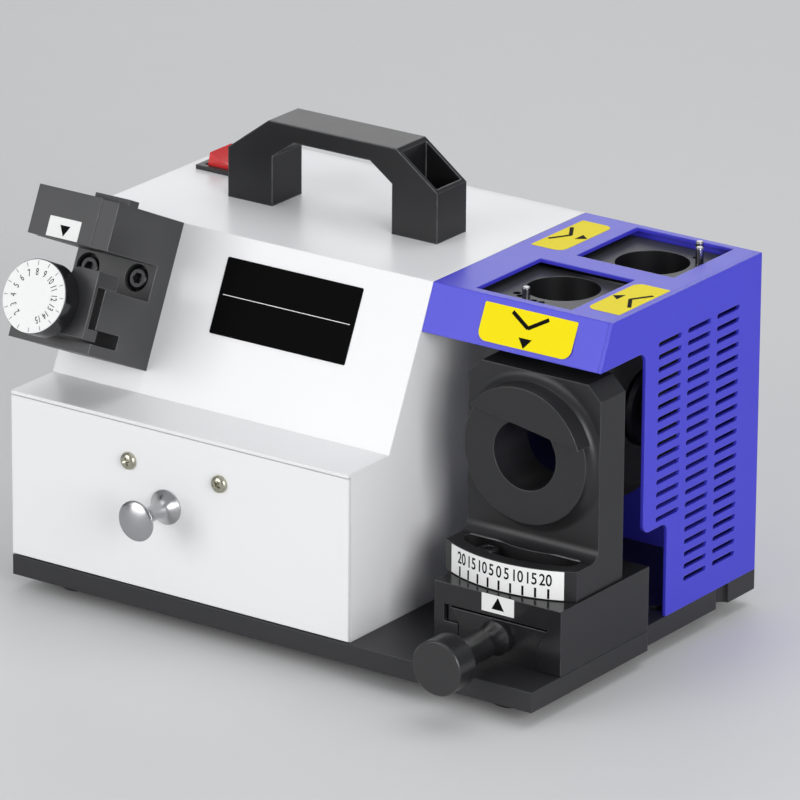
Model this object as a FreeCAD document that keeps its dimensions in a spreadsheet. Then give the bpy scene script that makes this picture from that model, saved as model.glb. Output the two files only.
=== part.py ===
"""Benchtop drill bit sharpener: a sheet-steel case on a steel deck, with a grinding wheel under a vented
side cover, a swivelling point station in front of it, two ports above it and a setting gauge.

Sizes are in millimetres. Pieces are drawn in the machine frame: x from the drawer's left end, y back from
the drawer's front, z up from the deck's top. Gauge pieces are drawn on the case's slope: x across,
y up the slope, z out of it. Placements then carry the machine frame to the part's own origin, under the
middle of its box.
"""
import FreeCAD, Part
import math
import os
import re

import Sketcher
from FreeCAD import Placement, Rotation, Vector

DIMENSIONS = {
    # Part origin, in the machine frame
    "origin_x": 157.0, "origin_y": 88.494, "origin_z": -18.5,
    # Deck and feet
    "deck_long": 314.0, "deck_short": 310.5, "deck_step": 100.5, "deck_deep": 202.0, "deck_thick": 10.5,
    "notch_y": 172.5, "notch_r": 5.5, "bench_hole_x": 300.4, "bench_hole_y": 128.0, "bench_hole_r": 3.3,
    "foot_tall": 8.0, "foot_r": 11.0, "foot_inset": 24.0,
    # Sheet-steel case
    "skin": 2.0, "miter": 1.28, "case_wide": 206.0, "case_deep": 202.0, "case_tall": 166.4,
    "bay_tall": 87.2, "bay_deep": 33.6, "top_front": 70.2, "wall_front": 2.3, "flange": 10.0,
    # Drawer
    "front_thick": 2.0, "front_low": 0.8, "front_tall": 84.0, "tray_side": 6.0, "tray_back": 94.0,
    "tray_low": 3.2, "tray_tall": 73.0, "tray_wall": 1.5, "runner_wide": 12.0, "runner_tall": 3.0,
    "knob_x": 96.0, "knob_z": 46.5, "front_screw_x": 73.3, "front_screw_gap": 55.5,
    "front_screw_z": 65.8,
    # Carrying handle
    "handle_x": 47.3, "handle_y": 117.3, "handle_long": 127.7, "handle_deep": 25.0, "leg_wide": 27.3,
    "shoulder_tall": 26.1, "handle_tall": 44.6, "slant_in": 25.0, "gap_in": 13.4,
    # Rocker switch
    "switch_x": 7.5, "switch_y": 143.5, "bezel_long": 31.5, "bezel_deep": 25.0, "bezel_tall": 2.2,
    "switch_drop": 26.0, "well_long": 25.1, "well_deep": 19.0, "well_drop": 10.0, "rocker_half": 11.0,
    "rocker_tall": 8.2, "rocker_tilt": 11.0, "trunnion_r": 1.6,
    # Mains inlet on the rear panel
    "inlet_x": 40.0, "inlet_z": 34.0, "inlet_long": 48.0, "inlet_tall": 26.0, "inlet_proud": 2.5,
    # Motor and spindle
    "axis_y": 146.0, "axis_z": 96.5, "can_r": 42.0, "can_wall": 3.0, "can_x": 62.0, "can_long": 110.0,
    "bell_thick": 14.0, "bell_r": 44.0, "bell_foot_wide": 60.0, "shaft_r": 6.0, "bearing_r": 16.0,
    "bearing_wide": 10.0, "running_gap": 0.05, "seat_gap": 0.03,
    # Grinding wheel
    "wheel_x": 250.0, "wheel_wide": 30.0, "wheel_r": 48.0, "wheel_bevel": 8.0, "hub_r": 22.0,
    "spigot_r": 10.0,
    # Wheel cover
    "visor_y": 60.5, "visor_z": 143.5, "panel_front": 100.0, "panel_step_y": 121.5,
    "panel_step_z": 49.3, "vent_long": 20.4, "vent_tall": 2.6, "vent_pitch": 6.45, "vent_top": 143.8,
    "vent_y": 111.0, "vent_column": 25.8, "window_a_x": 228.0, "window_a_y": 74.7,
    "window_a_long": 55.6, "window_a_deep": 55.3, "window_b_x": 239.6, "window_b_y": 144.0,
    "window_b_long": 57.1, "window_b_deep": 54.0,
    # Top ports
    "port_drop": 5.0, "port_thick": 7.4, "port_bore_r": 18.6, "collar_r": 23.0, "collar_drop": 7.0,
    "port_a_x": 254.4, "port_a_y": 110.8, "port_b_x": 267.6, "port_b_y": 169.6, "port_flat": 14.5,
    "shelf_thick": 3.0, "peg_r": 2.0, "peg_circle": 23.4,
    # Feed way and saddle
    "way_x": 277.0, "way_front": 25.0, "way_back": 100.0, "neck_half": 23.0, "neck_tall": 14.0,
    "tail_half": 28.2, "tail_tall": 21.2, "slide_gap": 0.4, "top_gap": 1.3, "gib_half": 30.0,
    "gib_gap": 1.4, "saddle_left": 240.0, "saddle_wide": 74.0, "saddle_front": 24.5,
    "saddle_deep": 76.0, "saddle_tall": 33.5, "saddle_clear": 0.4, "screw_z": 12.4, "screw_r": 4.2,
    "collar_half": 6.6, "feed_knob_r": 14.0, "feed_knob_long": 13.8, "feed_knob_front": -27.0,
    "feed_hub_r": 8.4, "feed_hub_waist": 7.4, "nut_y": 56.0, "nut_long": 16.0, "nut_half": 8.0,
    "channel_half": 9.0, "channel_front": 37.0, "channel_back": 90.0,
    # Swivelling point station
    "swivel_x": 274.1, "swivel_y": 105.0, "scale_r": 75.5, "station_half": 38.5, "swivel_low": 33.7,
    "shelf_top": 49.0, "upright_front": 58.0, "upright_back": 79.0, "station_top": 137.6,
    "corner_cut": 7.5, "shelf_round": 6.0, "pivot_r": 4.0, "lug_r": 10.0, "tongue_top": 42.0,
    "slot_r": 61.3, "slot_step": 41.0, "slot_half": 7.1, "shank_half": 3.6, "slot_left": 25.5,
    "slot_right": 24.5, "clamp_turn": 17.0, "boss_r": 35.0, "boss_proud": 8.4, "boss_flare": 6.0,
    "cam_rise": 1.6, "cam_turns": 0.711, "cam_start": 150.0, "point_bore_r": 17.75, "point_z": 97.2,
    "flat_over": 16.8, "flat_tilt": 9.9, "stop_r": 36.0, "stop_proud": 13.0,
    # Setting gauge, on the slope
    "gauge_x": 5.7, "gauge_wide": 49.3, "gauge_low": 11.4, "gauge_high": 87.4, "gauge_plate": 13.0,
    "notch_low": 44.6, "notch_high": 62.9, "arm_out": 50.0, "index_out": 58.0, "cheek_wide": 10.2,
    "bed_low": 24.4, "bed_out": 51.0, "ledge_top": 17.0, "ledge_out": 52.0, "slot_in": 30.0,
    "gauge_screw_left": 14.0, "gauge_screw_gap": 30.3, "gauge_screw_up": 55.0, "counterbore_r": 6.95,
    "dial_up": 32.8, "dial_r": 18.75, "dial_in": 60.5, "dial_out": 73.4, "dial_face_thick": 0.6,
    "spindle_r": 4.0, "slider_in": 57.5, "slider_out": 60.0, "slider_low": 18.4, "slider_high": 52.6,
    "slider_eye_r": 16.6, "slider_round": 5.0, "lip_in": 42.0, "toe_in": 49.0, "toe_tall": 5.5,
}

TURN_SIDES = {"left": 1, "right": -1}
OPEN = "12"
PLANES = {"XY": "XY_Plane", "XZ": "XZ_Plane", "YZ": "YZ_Plane"}

doc = FreeCAD.newDocument("drill_sharpener")
sheet = doc.addObject("Spreadsheet::Sheet", "dims")
for row, (alias, number) in enumerate(DIMENSIONS.items(), start=1):
    sheet.set(f"A{row}", alias)
    sheet.set(f"B{row}", str(number))
    sheet.setAlias(f"B{row}", alias)
doc.recompute()


def cells(expression):
    """Writes an expression's plain names as cells of the sheet."""
    return re.sub(r"\b[a-z_]\w*\b(?!\()", r"dims.\g<0>", str(expression))


def size(expression):
    """The number that an expression on the sheet's names gives."""
    return float(sheet.evalExpression(cells(expression)))


SLOPE_DEGREES = math.degrees(math.atan2(size("case_tall - bay_tall"), size("top_front - bay_deep")))
UPRIGHT = Rotation()
ALONG_X = Rotation(Vector(0, 0, 1), Vector(1, 0, 0))
TO_FRONT = Rotation(Vector(0, 0, 1), Vector(0, -1, 0))
TO_BACK = Rotation(Vector(0, 0, 1), Vector(0, 1, 0))
ON_SLOPE = Rotation(Vector(1, 0, 0), SLOPE_DEGREES)


def place(item, at, turn=UPRIGHT):
    """Puts an object at a point of the machine frame, tied to the sheet."""
    item.Placement = Placement(Vector(), turn)
    for letter, where in zip("xyz", at):
        item.setExpression(f"Placement.Base.{letter}", cells(f"({where}) - origin_{letter}"))


def place_on_slope(item, across="0", up="0", out="0"):
    """Puts an object at a point of the case's slope, given across, up and out of the slope."""
    rise = math.sin(math.radians(SLOPE_DEGREES))
    run = math.cos(math.radians(SLOPE_DEGREES))
    place(item, (across, f"bay_deep + ({up}) * {run} - ({out}) * {rise}",
                 f"bay_tall + ({up}) * {rise} + ({out}) * {run}"), ON_SLOPE)


class Piece:
    """One sub-part drawn as a body, from sketches on its own origin planes."""

    def __init__(self, label, at=("0", "0", "0"), turn=UPRIGHT, slope=None):
        self.body = doc.addObject("PartDesign::Body", label)
        self.body.Label = label
        if slope is None:
            place(self.body, at, turn)
        else:
            place_on_slope(self.body, *slope)

    def sketch(self, name, plane, loops, lift="0"):
        """Draws closed loops on an origin plane, lifted along the plane's normal."""
        drawing = self.body.newObject("Sketcher::SketchObject", name)
        faces = {feature.Role: feature for feature in self.body.Origin.OriginFeatures}
        drawing.AttachmentSupport = [(faces[PLANES[plane]], "")]
        drawing.MapMode = "FlatFace"
        drawing.setExpression("AttachmentOffset.Base.z", cells(lift))
        for loop in loops:
            if loop[0] == "circle":
                draw_circle(drawing, *loop[1:])
            elif loop[0] == "slot":
                draw_slot(drawing, *loop[1:])
            else:
                draw_outline(drawing, loop)
        return drawing

    def pad(self, name, plane, loops, length, lift="0", back=False, middle=False):
        """Raises loops into a solid, and adds it to the piece."""
        return self.raised("PartDesign::Pad", name, plane, loops, length, lift, back, middle)

    def pocket(self, name, plane, loops, length, lift="0", back=False, middle=False):
        """Cuts loops out of the piece, and makes sure that something was cut."""
        doc.recompute()
        before = self.body.Shape.Volume
        feature = self.raised("PartDesign::Pocket", name, plane, loops, length, lift, back, middle)
        doc.recompute()
        if self.body.Shape.Volume > before - 0.01:
            raise ValueError(f"{self.body.Label}: {name} cuts nothing")
        return feature

    def raised(self, kind, name, plane, loops, length, lift, back, middle):
        """Makes a pad or a pocket from loops."""
        feature = self.body.newObject(kind, name)
        feature.Profile = self.sketch(f"{name}_outline", plane, loops, lift)
        feature.setExpression("Length", cells(length))
        feature.Reversed = back
        feature.Midplane = middle
        return feature

    def turned(self, name, outline, plane="XZ", lift="0"):
        """Turns an outline, given as radius and height, about its sketch's upright axis."""
        feature = self.body.newObject("PartDesign::Revolution", name)
        drawing = self.sketch(f"{name}_outline", plane, [outline], lift)
        feature.Profile = drawing
        feature.ReferenceAxis = (drawing, ["V_Axis"])
        feature.Angle = 360
        return feature

    def repeat(self, name, feature, axis, length, count):
        """Repeats a feature in a row along an axis of a sketch."""
        pattern = self.body.newObject("PartDesign::LinearPattern", name)
        pattern.Originals = [feature]
        pattern.Direction = (feature.Profile[0], [axis])
        pattern.setExpression("Length", cells(length))
        pattern.Occurrences = count
        self.body.Tip = pattern
        return pattern

    def around(self, name, feature, count):
        """Repeats a feature round the piece's own Z axis."""
        axes = {item.Role: item for item in self.body.Origin.OriginFeatures}
        pattern = self.body.newObject("PartDesign::PolarPattern", name)
        pattern.Originals = [feature]
        pattern.Axis = (axes["Z_Axis"], [""])
        pattern.Angle = 360
        pattern.Occurrences = count
        self.body.Tip = pattern
        return pattern

    def dress(self, kind, name, amount, wanted):
        """Rounds or chamfers the edges that a test picks."""
        doc.recompute()
        base = self.body.Tip
        names = [f"Edge{n}" for n, edge in enumerate(base.Shape.Edges, start=1) if wanted(edge)]
        feature = self.body.newObject(f"PartDesign::{kind}", name)
        feature.Base = (base, names)
        feature.setExpression("Radius" if kind == "Fillet" else "Size", cells(amount))
        return feature


def fix_point(drawing, geometry, end, across, up):
    """Ties a point of a sketch to the sheet."""
    for kind, expression in (("DistanceX", across), ("DistanceY", up)):
        rule = Sketcher.Constraint(kind, -1, 1, geometry, end, size(expression))
        drawing.setExpression(f"Constraints[{drawing.addConstraint(rule)}]", cells(expression))


def fix_radius(drawing, geometry, radius):
    """Ties an arc's or circle's radius to the sheet."""
    rule = Sketcher.Constraint("Radius", geometry, size(radius))
    drawing.setExpression(f"Constraints[{drawing.addConstraint(rule)}]", cells(radius))


def draw_circle(drawing, across, up, radius):
    """Draws a circle about a point."""
    circle = Part.Circle(Vector(size(across), size(up), 0), Vector(0, 0, 1), size(radius))
    geometry = drawing.addGeometry(circle, False)
    fix_point(drawing, geometry, 3, across, up)
    fix_radius(drawing, geometry, radius)


def draw_slot(drawing, across, up, length, radius):
    """Draws a level slot with round ends from the centre of its left end."""
    left = Vector(size(across), size(up), 0)
    right = left + Vector(size(length), 0, 0)
    reach = Vector(0, size(radius), 0)
    quarter = math.pi / 2
    ends = [Part.ArcOfCircle(Part.Circle(left, Vector(0, 0, 1), reach.y), quarter, 3 * quarter),
            Part.LineSegment(left - reach, right - reach),
            Part.ArcOfCircle(Part.Circle(right, Vector(0, 0, 1), reach.y), -quarter, quarter),
            Part.LineSegment(right + reach, left + reach)]
    first = [drawing.addGeometry(end, False) for end in ends][0]
    for step in range(4):
        drawing.addConstraint(Sketcher.Constraint("Tangent", first + step, 2, first + (step + 1) % 4, 1))
    fix_point(drawing, first, 3, across, up)
    fix_point(drawing, first + 2, 3, f"({across}) + ({length})", up)
    fix_radius(drawing, first, radius)


def draw_outline(drawing, points):
    """Draws a closed outline. A point is (across, up), or (across, up, radius, turn) at an arc's end."""
    spots = [Vector(size(point[0]), size(point[1]), 0) for point in points]
    pieces = []
    for n, point in enumerate(points):
        start, end = spots[n - 1], spots[n]
        if len(point) == 2:
            pieces.append((drawing.addGeometry(Part.LineSegment(start, end), False), 1, 2))
            continue
        side = TURN_SIDES[point[3]]
        chord = end - start
        radius = size(point[2])
        depth = math.sqrt(max(radius ** 2 - chord.Length ** 2 / 4, 0.0))
        centre = (start + end) / 2 + Vector(-chord.y, chord.x, 0).normalize() * depth * side
        angles = [math.atan2(spot.y - centre.y, spot.x - centre.x) for spot in (start, end)]
        circle = Part.Circle(centre, Vector(0, 0, 1), radius)
        arc = Part.ArcOfCircle(circle, *(angles if side > 0 else reversed(angles)))
        geometry = drawing.addGeometry(arc, False)
        pieces.append((geometry, 1, 2) if side > 0 else (geometry, 2, 1))
        fix_radius(drawing, geometry, point[2])
    for n, (geometry, head, tail) in enumerate(pieces):
        follower, follower_head, _ = pieces[(n + 1) % len(pieces)]
        drawing.addConstraint(Sketcher.Constraint("Coincident", geometry, tail, follower, follower_head))
        fix_point(drawing, geometry, tail, points[n][0], points[n][1])


def box(low_x, low_y, high_x, high_y):
    """A rectangle's outline."""
    return [(low_x, low_y), (high_x, low_y), (high_x, high_y), (low_x, high_y)]


def group(label, pattern, places, turn=UPRIGHT):
    """Several separate copies of one pattern piece, as one sub-part."""
    copies = []
    for n, at in enumerate(places, start=1):
        copy = doc.addObject("App::Link", f"{label}_{n}")
        copy.LinkedObject = pattern.body
        if turn == ON_SLOPE:
            place_on_slope(copy, *at)
        else:
            place(copy, at, turn)
        copies.append(copy)
    whole = doc.addObject("Part::Compound", label)
    whole.Label = label
    whole.Links = copies
    return whole


def hexagon(reach):
    """The corners of a hexagon, each at one reach from its middle."""
    angles = [k * math.pi / 3 for k in range(6)]
    return [(f"{reach * math.cos(angle)}", f"{reach * math.sin(angle)}") for angle in angles]


def cap_screw(label, shank_r, length, head_r, head_tall):
    """A socket-head screw, head up from zero and shank down from it."""
    screw = Piece(label)
    screw.turned("form", [("0", f"-{length}"), (shank_r, f"-{length}"), (shank_r, "0"), (head_r, "0"),
                          (head_r, f"{head_tall} - 0.6"), (f"{head_r} - 0.6", head_tall), ("0", head_tall)])
    screw.pocket("socket", "XY", [hexagon(float(head_r) * 0.56)], f"{head_tall} * 0.6", lift=head_tall)
    return screw


def pan_screw(label, shank_r, length, head_r, head_tall):
    """A pan-head screw, head up from zero and shank down from it."""
    screw = Piece(label)
    screw.turned("form", [("0", f"-{length}"), (shank_r, f"-{length}"), (shank_r, "0"), (head_r, "0"),
                          (head_r, f"{head_tall} * 0.35"), (f"{head_r} * 0.55", head_tall),
                          ("0", head_tall)])
    return screw


# Deck and feet

def deck_and_feet():
    """The steel deck that everything stands on, and its rubber feet."""
    deck = Piece("base_plate", ("0", "0", "-deck_thick"))
    deck.pad("slab", "XY", [[
        ("0", "0"), ("deck_long", "0"), ("deck_long", "deck_step"), ("deck_short", "deck_step"),
        ("deck_short", "deck_deep"), ("0", "deck_deep")]], "deck_thick")
    deck.pocket("edge_notch", "XY", [("circle", "deck_short", "notch_y", "notch_r")],
                "deck_thick * 3", middle=True)
    deck.pocket("bench_hole", "XY", [("circle", "bench_hole_x", "bench_hole_y", "bench_hole_r")],
                "deck_thick * 3", middle=True)
    foot = Piece("foot_form")
    foot.turned("form", [("0", "0"), ("foot_r - 1.6", "0"), ("foot_r - 0.6", "1"),
                         ("foot_r", "foot_tall - 1"), ("foot_r", "foot_tall"), ("0", "foot_tall")])
    low = "-deck_thick - foot_tall"
    corners = [(x, y, low) for x in ("foot_inset", "deck_short - foot_inset")
               for y in ("foot_inset", "deck_deep - foot_inset")]
    return [deck.body, group("rubber_feet", foot, corners)]


# Case

def case():
    """The folded case, with its holes but for the gauge's."""
    shell = Piece("main_housing")
    back = "case_deep - skin"
    shell.pad("fold", "YZ", [[
        ("wall_front", "0"), ("wall_front", "bay_tall - skin"), ("0", "bay_tall - skin"), ("0", "bay_tall"),
        ("bay_deep", "bay_tall"), ("top_front", "case_tall"), (back, "case_tall"), (back, "0")]], "case_wide")
    inner = [(f"-{OPEN}", f"-{OPEN}"), (f"-{OPEN}", "bay_tall - skin"),
             ("bay_deep + miter", "bay_tall - skin"), ("top_front + miter", "case_tall - skin"),
             ("case_deep - 2 * skin", "case_tall - skin"), ("case_deep - 2 * skin", f"-{OPEN}")]
    shell.pocket("inside", "YZ", [inner], "case_wide - 2 * skin", lift="skin", back=True)
    mouth = box("flange", f"-{OPEN}", "case_wide - flange", "case_tall - flange")
    shell.pocket("rear_mouth", "XZ", [mouth], "4 * skin", lift=f"-({back})", middle=True)
    shell.pocket("spindle_hole", "YZ", [("circle", "axis_y", "axis_z", "hub_r + 4")], "6 * skin",
                 lift="case_wide", middle=True)
    feet = [("circle", f"handle_x + {x}", "handle_y + handle_deep / 2", "2.75")
            for x in ("leg_wide / 2", "handle_long - leg_wide / 2")]
    seat = box("switch_x + 1.7", "switch_y + 1.7",
               "switch_x + bezel_long - 1.7", "switch_y + bezel_deep - 1.7")
    shell.pocket("panel_screw_holes", "XZ", [("circle", *spot, "2.05") for spot in panel_screw_spots()],
                 "4 * skin", lift=f"-({back})", middle=True)
    shell.pocket("top_holes", "XY", feet + [seat], "6 * skin", lift="case_tall", middle=True)
    return shell


def panel_screw_spots():
    """Where the rear panel's screws are, across and up."""
    return [(x, z) for x in ("5", "case_wide - 5") for z in ("20", "case_tall / 2", "case_tall - 20")]


def slope_holes(shell):
    """Screw holes through the slope for the gauge, drilled square to it."""
    drill = shell.body.newObject("PartDesign::Pocket", "gauge_holes")
    drawing = shell.body.newObject("Sketcher::SketchObject", "gauge_holes_outline")
    faces = {feature.Role: feature for feature in shell.body.Origin.OriginFeatures}
    drawing.AttachmentSupport = [(faces["XY_Plane"], "")]
    drawing.MapMode = "FlatFace"
    drawing.AttachmentOffset = Placement(Vector(0, size("bay_deep"), size("bay_tall")), ON_SLOPE)
    for across in ("gauge_screw_left", "gauge_screw_left + gauge_screw_gap"):
        draw_circle(drawing, across, "gauge_screw_up", "3.3")
    drill.Profile = drawing
    drill.setExpression("Length", cells("6 * skin"))
    drill.Midplane = True
    return shell.body


def rear_panel():
    """The flat rear panel, its cooling slots, the inlet cut-out and the panel's screws."""
    panel = Piece("rear_panel", ("0", "case_deep - skin", "0"))
    panel.pad("sheet", "XZ", [box("0", "0", "case_wide", "case_tall")], "skin", back=True)
    mouth = box("inlet_x - 14", "inlet_z - 10.3", "inlet_x + 14", "inlet_z + 10.3")
    panel.pocket("inlet_mouth", "XZ", [mouth], "6 * skin", middle=True)
    slot = panel.pocket("cooling_slot", "XZ", [("slot", "88", "84", "36", "2")], "6 * skin", middle=True)
    panel.repeat("cooling_slots", slot, "V_Axis", "40", 6)
    row = panel.pocket("second_slot", "XZ", [("slot", "138", "84", "36", "2")], "6 * skin", middle=True)
    panel.repeat("second_slots", row, "V_Axis", "40", 6)
    panel.pocket("screw_holes", "XZ", [("circle", *spot, "2.2") for spot in panel_screw_spots()],
                 "6 * skin", middle=True)
    screw = pan_screw("rear_screw_form", "2", "6", "3.8", "2.4")
    places = [(x, "case_deep", z) for x, z in panel_screw_spots()]
    return [panel.body, group("rear_panel_screws", screw, places, TO_BACK)]


# Drawer

def drawer():
    """The drawer for collets and chucks: front, tray, turned knob, screws and the runners below it."""
    front = Piece("drawer_front", ("0", "0", "front_low"))
    front.pad("sheet", "XZ", [box("0", "0", "case_wide", "front_tall")], "front_thick", back=True)
    holes = [("circle", f"front_screw_x + {n} * front_screw_gap", "front_screw_z - front_low", "2.1")
             for n in (0, 1)]
    front.pocket("holes", "XZ", holes + [("circle", "knob_x", "knob_z - front_low", "2.6")],
                 "front_thick * 4", middle=True)
    tray = Piece("drawer_tray", ("tray_side", "front_thick", "tray_low"))
    wide = "case_wide - 2 * tray_side"
    deep = "tray_back - front_thick"
    tray.pad("block", "XY", [box("0", "0", wide, deep)], "tray_tall")
    inside = box("tray_wall", "tray_wall", f"{wide} - tray_wall", f"{deep} - tray_wall")
    tray.pocket("inside", "XY", [inside], "tray_tall - tray_wall", lift="tray_tall")
    spots = [("circle", f"front_screw_x + {n} * front_screw_gap - tray_side",
              "front_screw_z - tray_low", "2.1") for n in (0, 1)]
    tray.pocket("holes", "XZ", spots + [("circle", "knob_x - tray_side", "knob_z - tray_low", "2.6")],
                "tray_wall * 4", middle=True)
    knob = Piece("drawer_knob", ("knob_x", "0", "knob_z"), TO_FRONT)
    knob.turned("form", [("0", "-6"), ("2.5", "-6"), ("2.5", "0"), ("9", "0"), ("9", "1.2"),
                         ("4.6", "9.5", "10", "left"), ("4.6", "19", "13", "right"),
                         ("9.8", "23.4", "6", "right"), ("10.4", "24.4", "1", "left"),
                         ("9.8", "25.3", "1", "left"), ("0", "27", "(9.8 ^ 2 + 1.7 ^ 2) / 3.4", "left")])
    screw = pan_screw("drawer_screw_form", "2", "7", "4.4", "2.6")
    places = [(f"front_screw_x + {n} * front_screw_gap", "0", "front_screw_z") for n in (0, 1)]
    runner = Piece("runner_form")
    runner.pad("bar", "XY", [box("0", "0", "runner_wide", "tray_back - 8")], "runner_tall")
    spots = [(x, "6", "0") for x in ("tray_side + 6", "case_wide - tray_side - 6 - runner_wide")]
    return [front.body, tray.body, knob.body, group("drawer_screws", screw, places, TO_FRONT),
            group("drawer_runners", runner, spots)]


# Handle and switch

def handle():
    """The bridge handle with its hollow, open-ended legs, and the screws at the bottom of them."""
    grip = Piece("carry_handle", ("handle_x", "handle_y", "case_tall"))
    right = "handle_long - leg_wide"
    inner = "shoulder_tall + 9.5"
    grip.pad("bridge", "XZ", [[
        ("0", "0"), ("leg_wide", "0"), ("leg_wide", "shoulder_tall"), ("leg_wide + gap_in", inner),
        (f"{right} - gap_in", inner), (right, "shoulder_tall"), (right, "0"), ("handle_long", "0"),
        ("handle_long", "shoulder_tall"), ("handle_long - slant_in", "handle_tall"),
        ("slant_in", "handle_tall"), ("0", "shoulder_tall")]], "handle_deep", back=True)
    wells = [box("2", "2", "slant_in - 2", "handle_deep - 2"),
             box("handle_long - slant_in + 2", "2", "handle_long - 2", "handle_deep - 2")]
    grip.pocket("end_wells", "XY", wells, "handle_tall - 8", lift="handle_tall")
    feet = [("circle", x, "handle_deep / 2", "2.75")
            for x in ("leg_wide / 2", "handle_long - leg_wide / 2")]
    grip.pocket("screw_holes", "XY", feet, "30", middle=True)
    screw = cap_screw("handle_screw_form", "2.5", "16", "4.25", "5")
    places = [(f"handle_x + {x}", "handle_y + handle_deep / 2", "case_tall + 8")
              for x in ("leg_wide / 2", "handle_long - leg_wide / 2")]
    return [grip.body, group("handle_screws", screw, places)]


def switch():
    """The rocker switch: a bezel with its moulded body, and the rocker with its left end up."""
    bezel = Piece("switch_bezel", ("switch_x", "switch_y", "case_tall"))
    bezel.pad("flange", "XY", [box("0", "0", "bezel_long", "bezel_deep")], "bezel_tall")
    bezel.pad("body", "XY", [box("2", "2", "bezel_long - 2", "bezel_deep - 2")], "switch_drop", back=True)
    well = box("(bezel_long - well_long) / 2", "(bezel_deep - well_deep) / 2",
               "(bezel_long + well_long) / 2", "(bezel_deep + well_deep) / 2")
    bezel.pocket("well", "XY", [well], "well_drop + bezel_tall", lift="bezel_tall")
    bezel.pocket("pivot_holes", "XZ", [("circle", "bezel_long / 2", "-1", "trunnion_r + running_gap")],
                 "bezel_deep / 2 + well_deep / 2 + 0.9")
    tilt = Rotation(Vector(0, 1, 0), size("rocker_tilt"))
    pivot = ("switch_x + bezel_long / 2", "switch_y + bezel_deep / 2", "case_tall - 1")
    rocker = Piece("switch_rocker", pivot, tilt)
    rocker.pad("key", "XZ", [[
        ("-rocker_half", "-1.5"), ("-3", "-6"), ("3", "-6"), ("rocker_half", "-1.5"),
        ("rocker_half", "rocker_tall"), ("0", "rocker_tall - 2.4", "34", "right"),
        ("-rocker_half", "rocker_tall", "34", "right")]],
        "well_deep - 0.8", middle=True)
    rocker.pad("trunnions", "XZ", [("circle", "0", "0", "trunnion_r")], "well_deep + 1.4", middle=True)
    return [bezel.body, rocker.body]


def inlet():
    """The mains inlet in the rear panel, with its three blades."""
    socket = Piece("power_inlet", ("inlet_x", "case_deep", "inlet_z"))
    flange = box("-inlet_long / 2", "-inlet_tall / 2", "inlet_long / 2", "inlet_tall / 2")
    socket.pad("flange", "XZ", [flange], "inlet_proud", back=True)
    socket.pad("body", "XZ", [box("-13.7", "-10", "13.7", "10")], "24")
    mouth = [("-12", "-8"), ("12", "-8"), ("12", "3"), ("8", "8"), ("-8", "8"), ("-12", "3")]
    socket.pocket("mouth", "XZ", [mouth], "16 + inlet_proud", lift="-inlet_proud", back=True)
    blade = Piece("blade_form")
    blade.pad("bar", "XZ", [box("-1", "-2", "1", "2")], "12", back=True)
    places = [(f"inlet_x + {dx}", "case_deep - 16", f"inlet_z + {dz}")
              for dx, dz in ((-7, -2), (0, 2), (7, -2))]
    return [socket.body, group("inlet_blades", blade, places)]


# Motor and wheel

def end_bell(label, x, seat_from):
    """A motor end bell standing on the deck, with the seat for one bearing."""
    bell = Piece(label, (x, "0", "0"))
    bell.pad("disc", "YZ", [("circle", "axis_y", "axis_z", "bell_r")], "bell_thick")
    bell.pad("foot", "YZ", [[("axis_y - bell_foot_wide / 2", "0"), ("axis_y + bell_foot_wide / 2", "0"),
                             ("axis_y + bell_foot_wide / 2 - 6", "axis_z - 26"),
                             ("axis_y - bell_foot_wide / 2 + 6", "axis_z - 26")]], "bell_thick")
    bell.pocket("shaft_hole", "YZ", [("circle", "axis_y", "axis_z", "shaft_r + 4")],
                "bell_thick * 3", middle=True)
    bell.pocket("bearing_seat", "YZ", [("circle", "axis_y", "axis_z", "bearing_r + seat_gap")],
                "bearing_wide", lift=seat_from, back=True)
    return bell.body


def motor():
    """The motor: can, end bells, stator, bearings, the rotor on its shaft and the fan."""
    far = "can_x + can_long"
    can = Piece("motor_can", ("can_x", "axis_y", "axis_z"), ALONG_X)
    can.turned("form", [("can_r - can_wall", "0"), ("can_r", "0"), ("can_r", "can_long"),
                        ("can_r - can_wall", "can_long")])
    stator = Piece("stator", ("can_x + 18", "axis_y", "axis_z"), ALONG_X)
    inside = "can_r - can_wall - seat_gap"
    stator.turned("form", [("26.2", "0"), (inside, "0"), (inside, "can_long - 36"),
                           ("26.2", "can_long - 36")])
    shaft = Piece("rotor_shaft", ("can_x - 30", "axis_y", "axis_z"), ALONG_X)
    hub = "wheel_x - can_x + 30"
    shaft.turned("form", [("0", "0"), ("shaft_r", "0"), ("shaft_r", "52"), ("25.5", "52"), ("25.5", "122"),
                          ("shaft_r", "122"), ("shaft_r", "158"), ("shaft_r + 2", "158"),
                          ("shaft_r + 2", f"{hub} - 12"), ("shaft_r", f"{hub} - 12"),
                          ("shaft_r", f"{hub} + wheel_wide + 12"), ("0", f"{hub} + wheel_wide + 12")])
    ring = Piece("bearing_form")
    ring.turned("form", [("shaft_r + running_gap", "0"), ("bearing_r", "0"), ("bearing_r", "bearing_wide"),
                         ("shaft_r + running_gap", "bearing_wide")])
    seats = [("can_x - bearing_wide", "axis_y", "axis_z"), (far, "axis_y", "axis_z")]
    fan = Piece("cooling_fan", ("can_x - 27", "axis_y", "axis_z"), ALONG_X)
    fan.turned("hub", [("shaft_r + seat_gap", "0"), ("13", "0"), ("13", "10"),
                       ("shaft_r + seat_gap", "10")])
    blade = fan.pad("blade", "XY", [box("11", "-0.8", "34", "0.8")], "9")
    fan.around("blades", blade, 8)
    return [can.body, end_bell("drive_end_bell", far, "0"),
            end_bell("rear_end_bell", "can_x - bell_thick", "bell_thick - bearing_wide"),
            stator.body, group("spindle_bearings", ring, seats, ALONG_X), shaft.body, fan.body]


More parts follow.
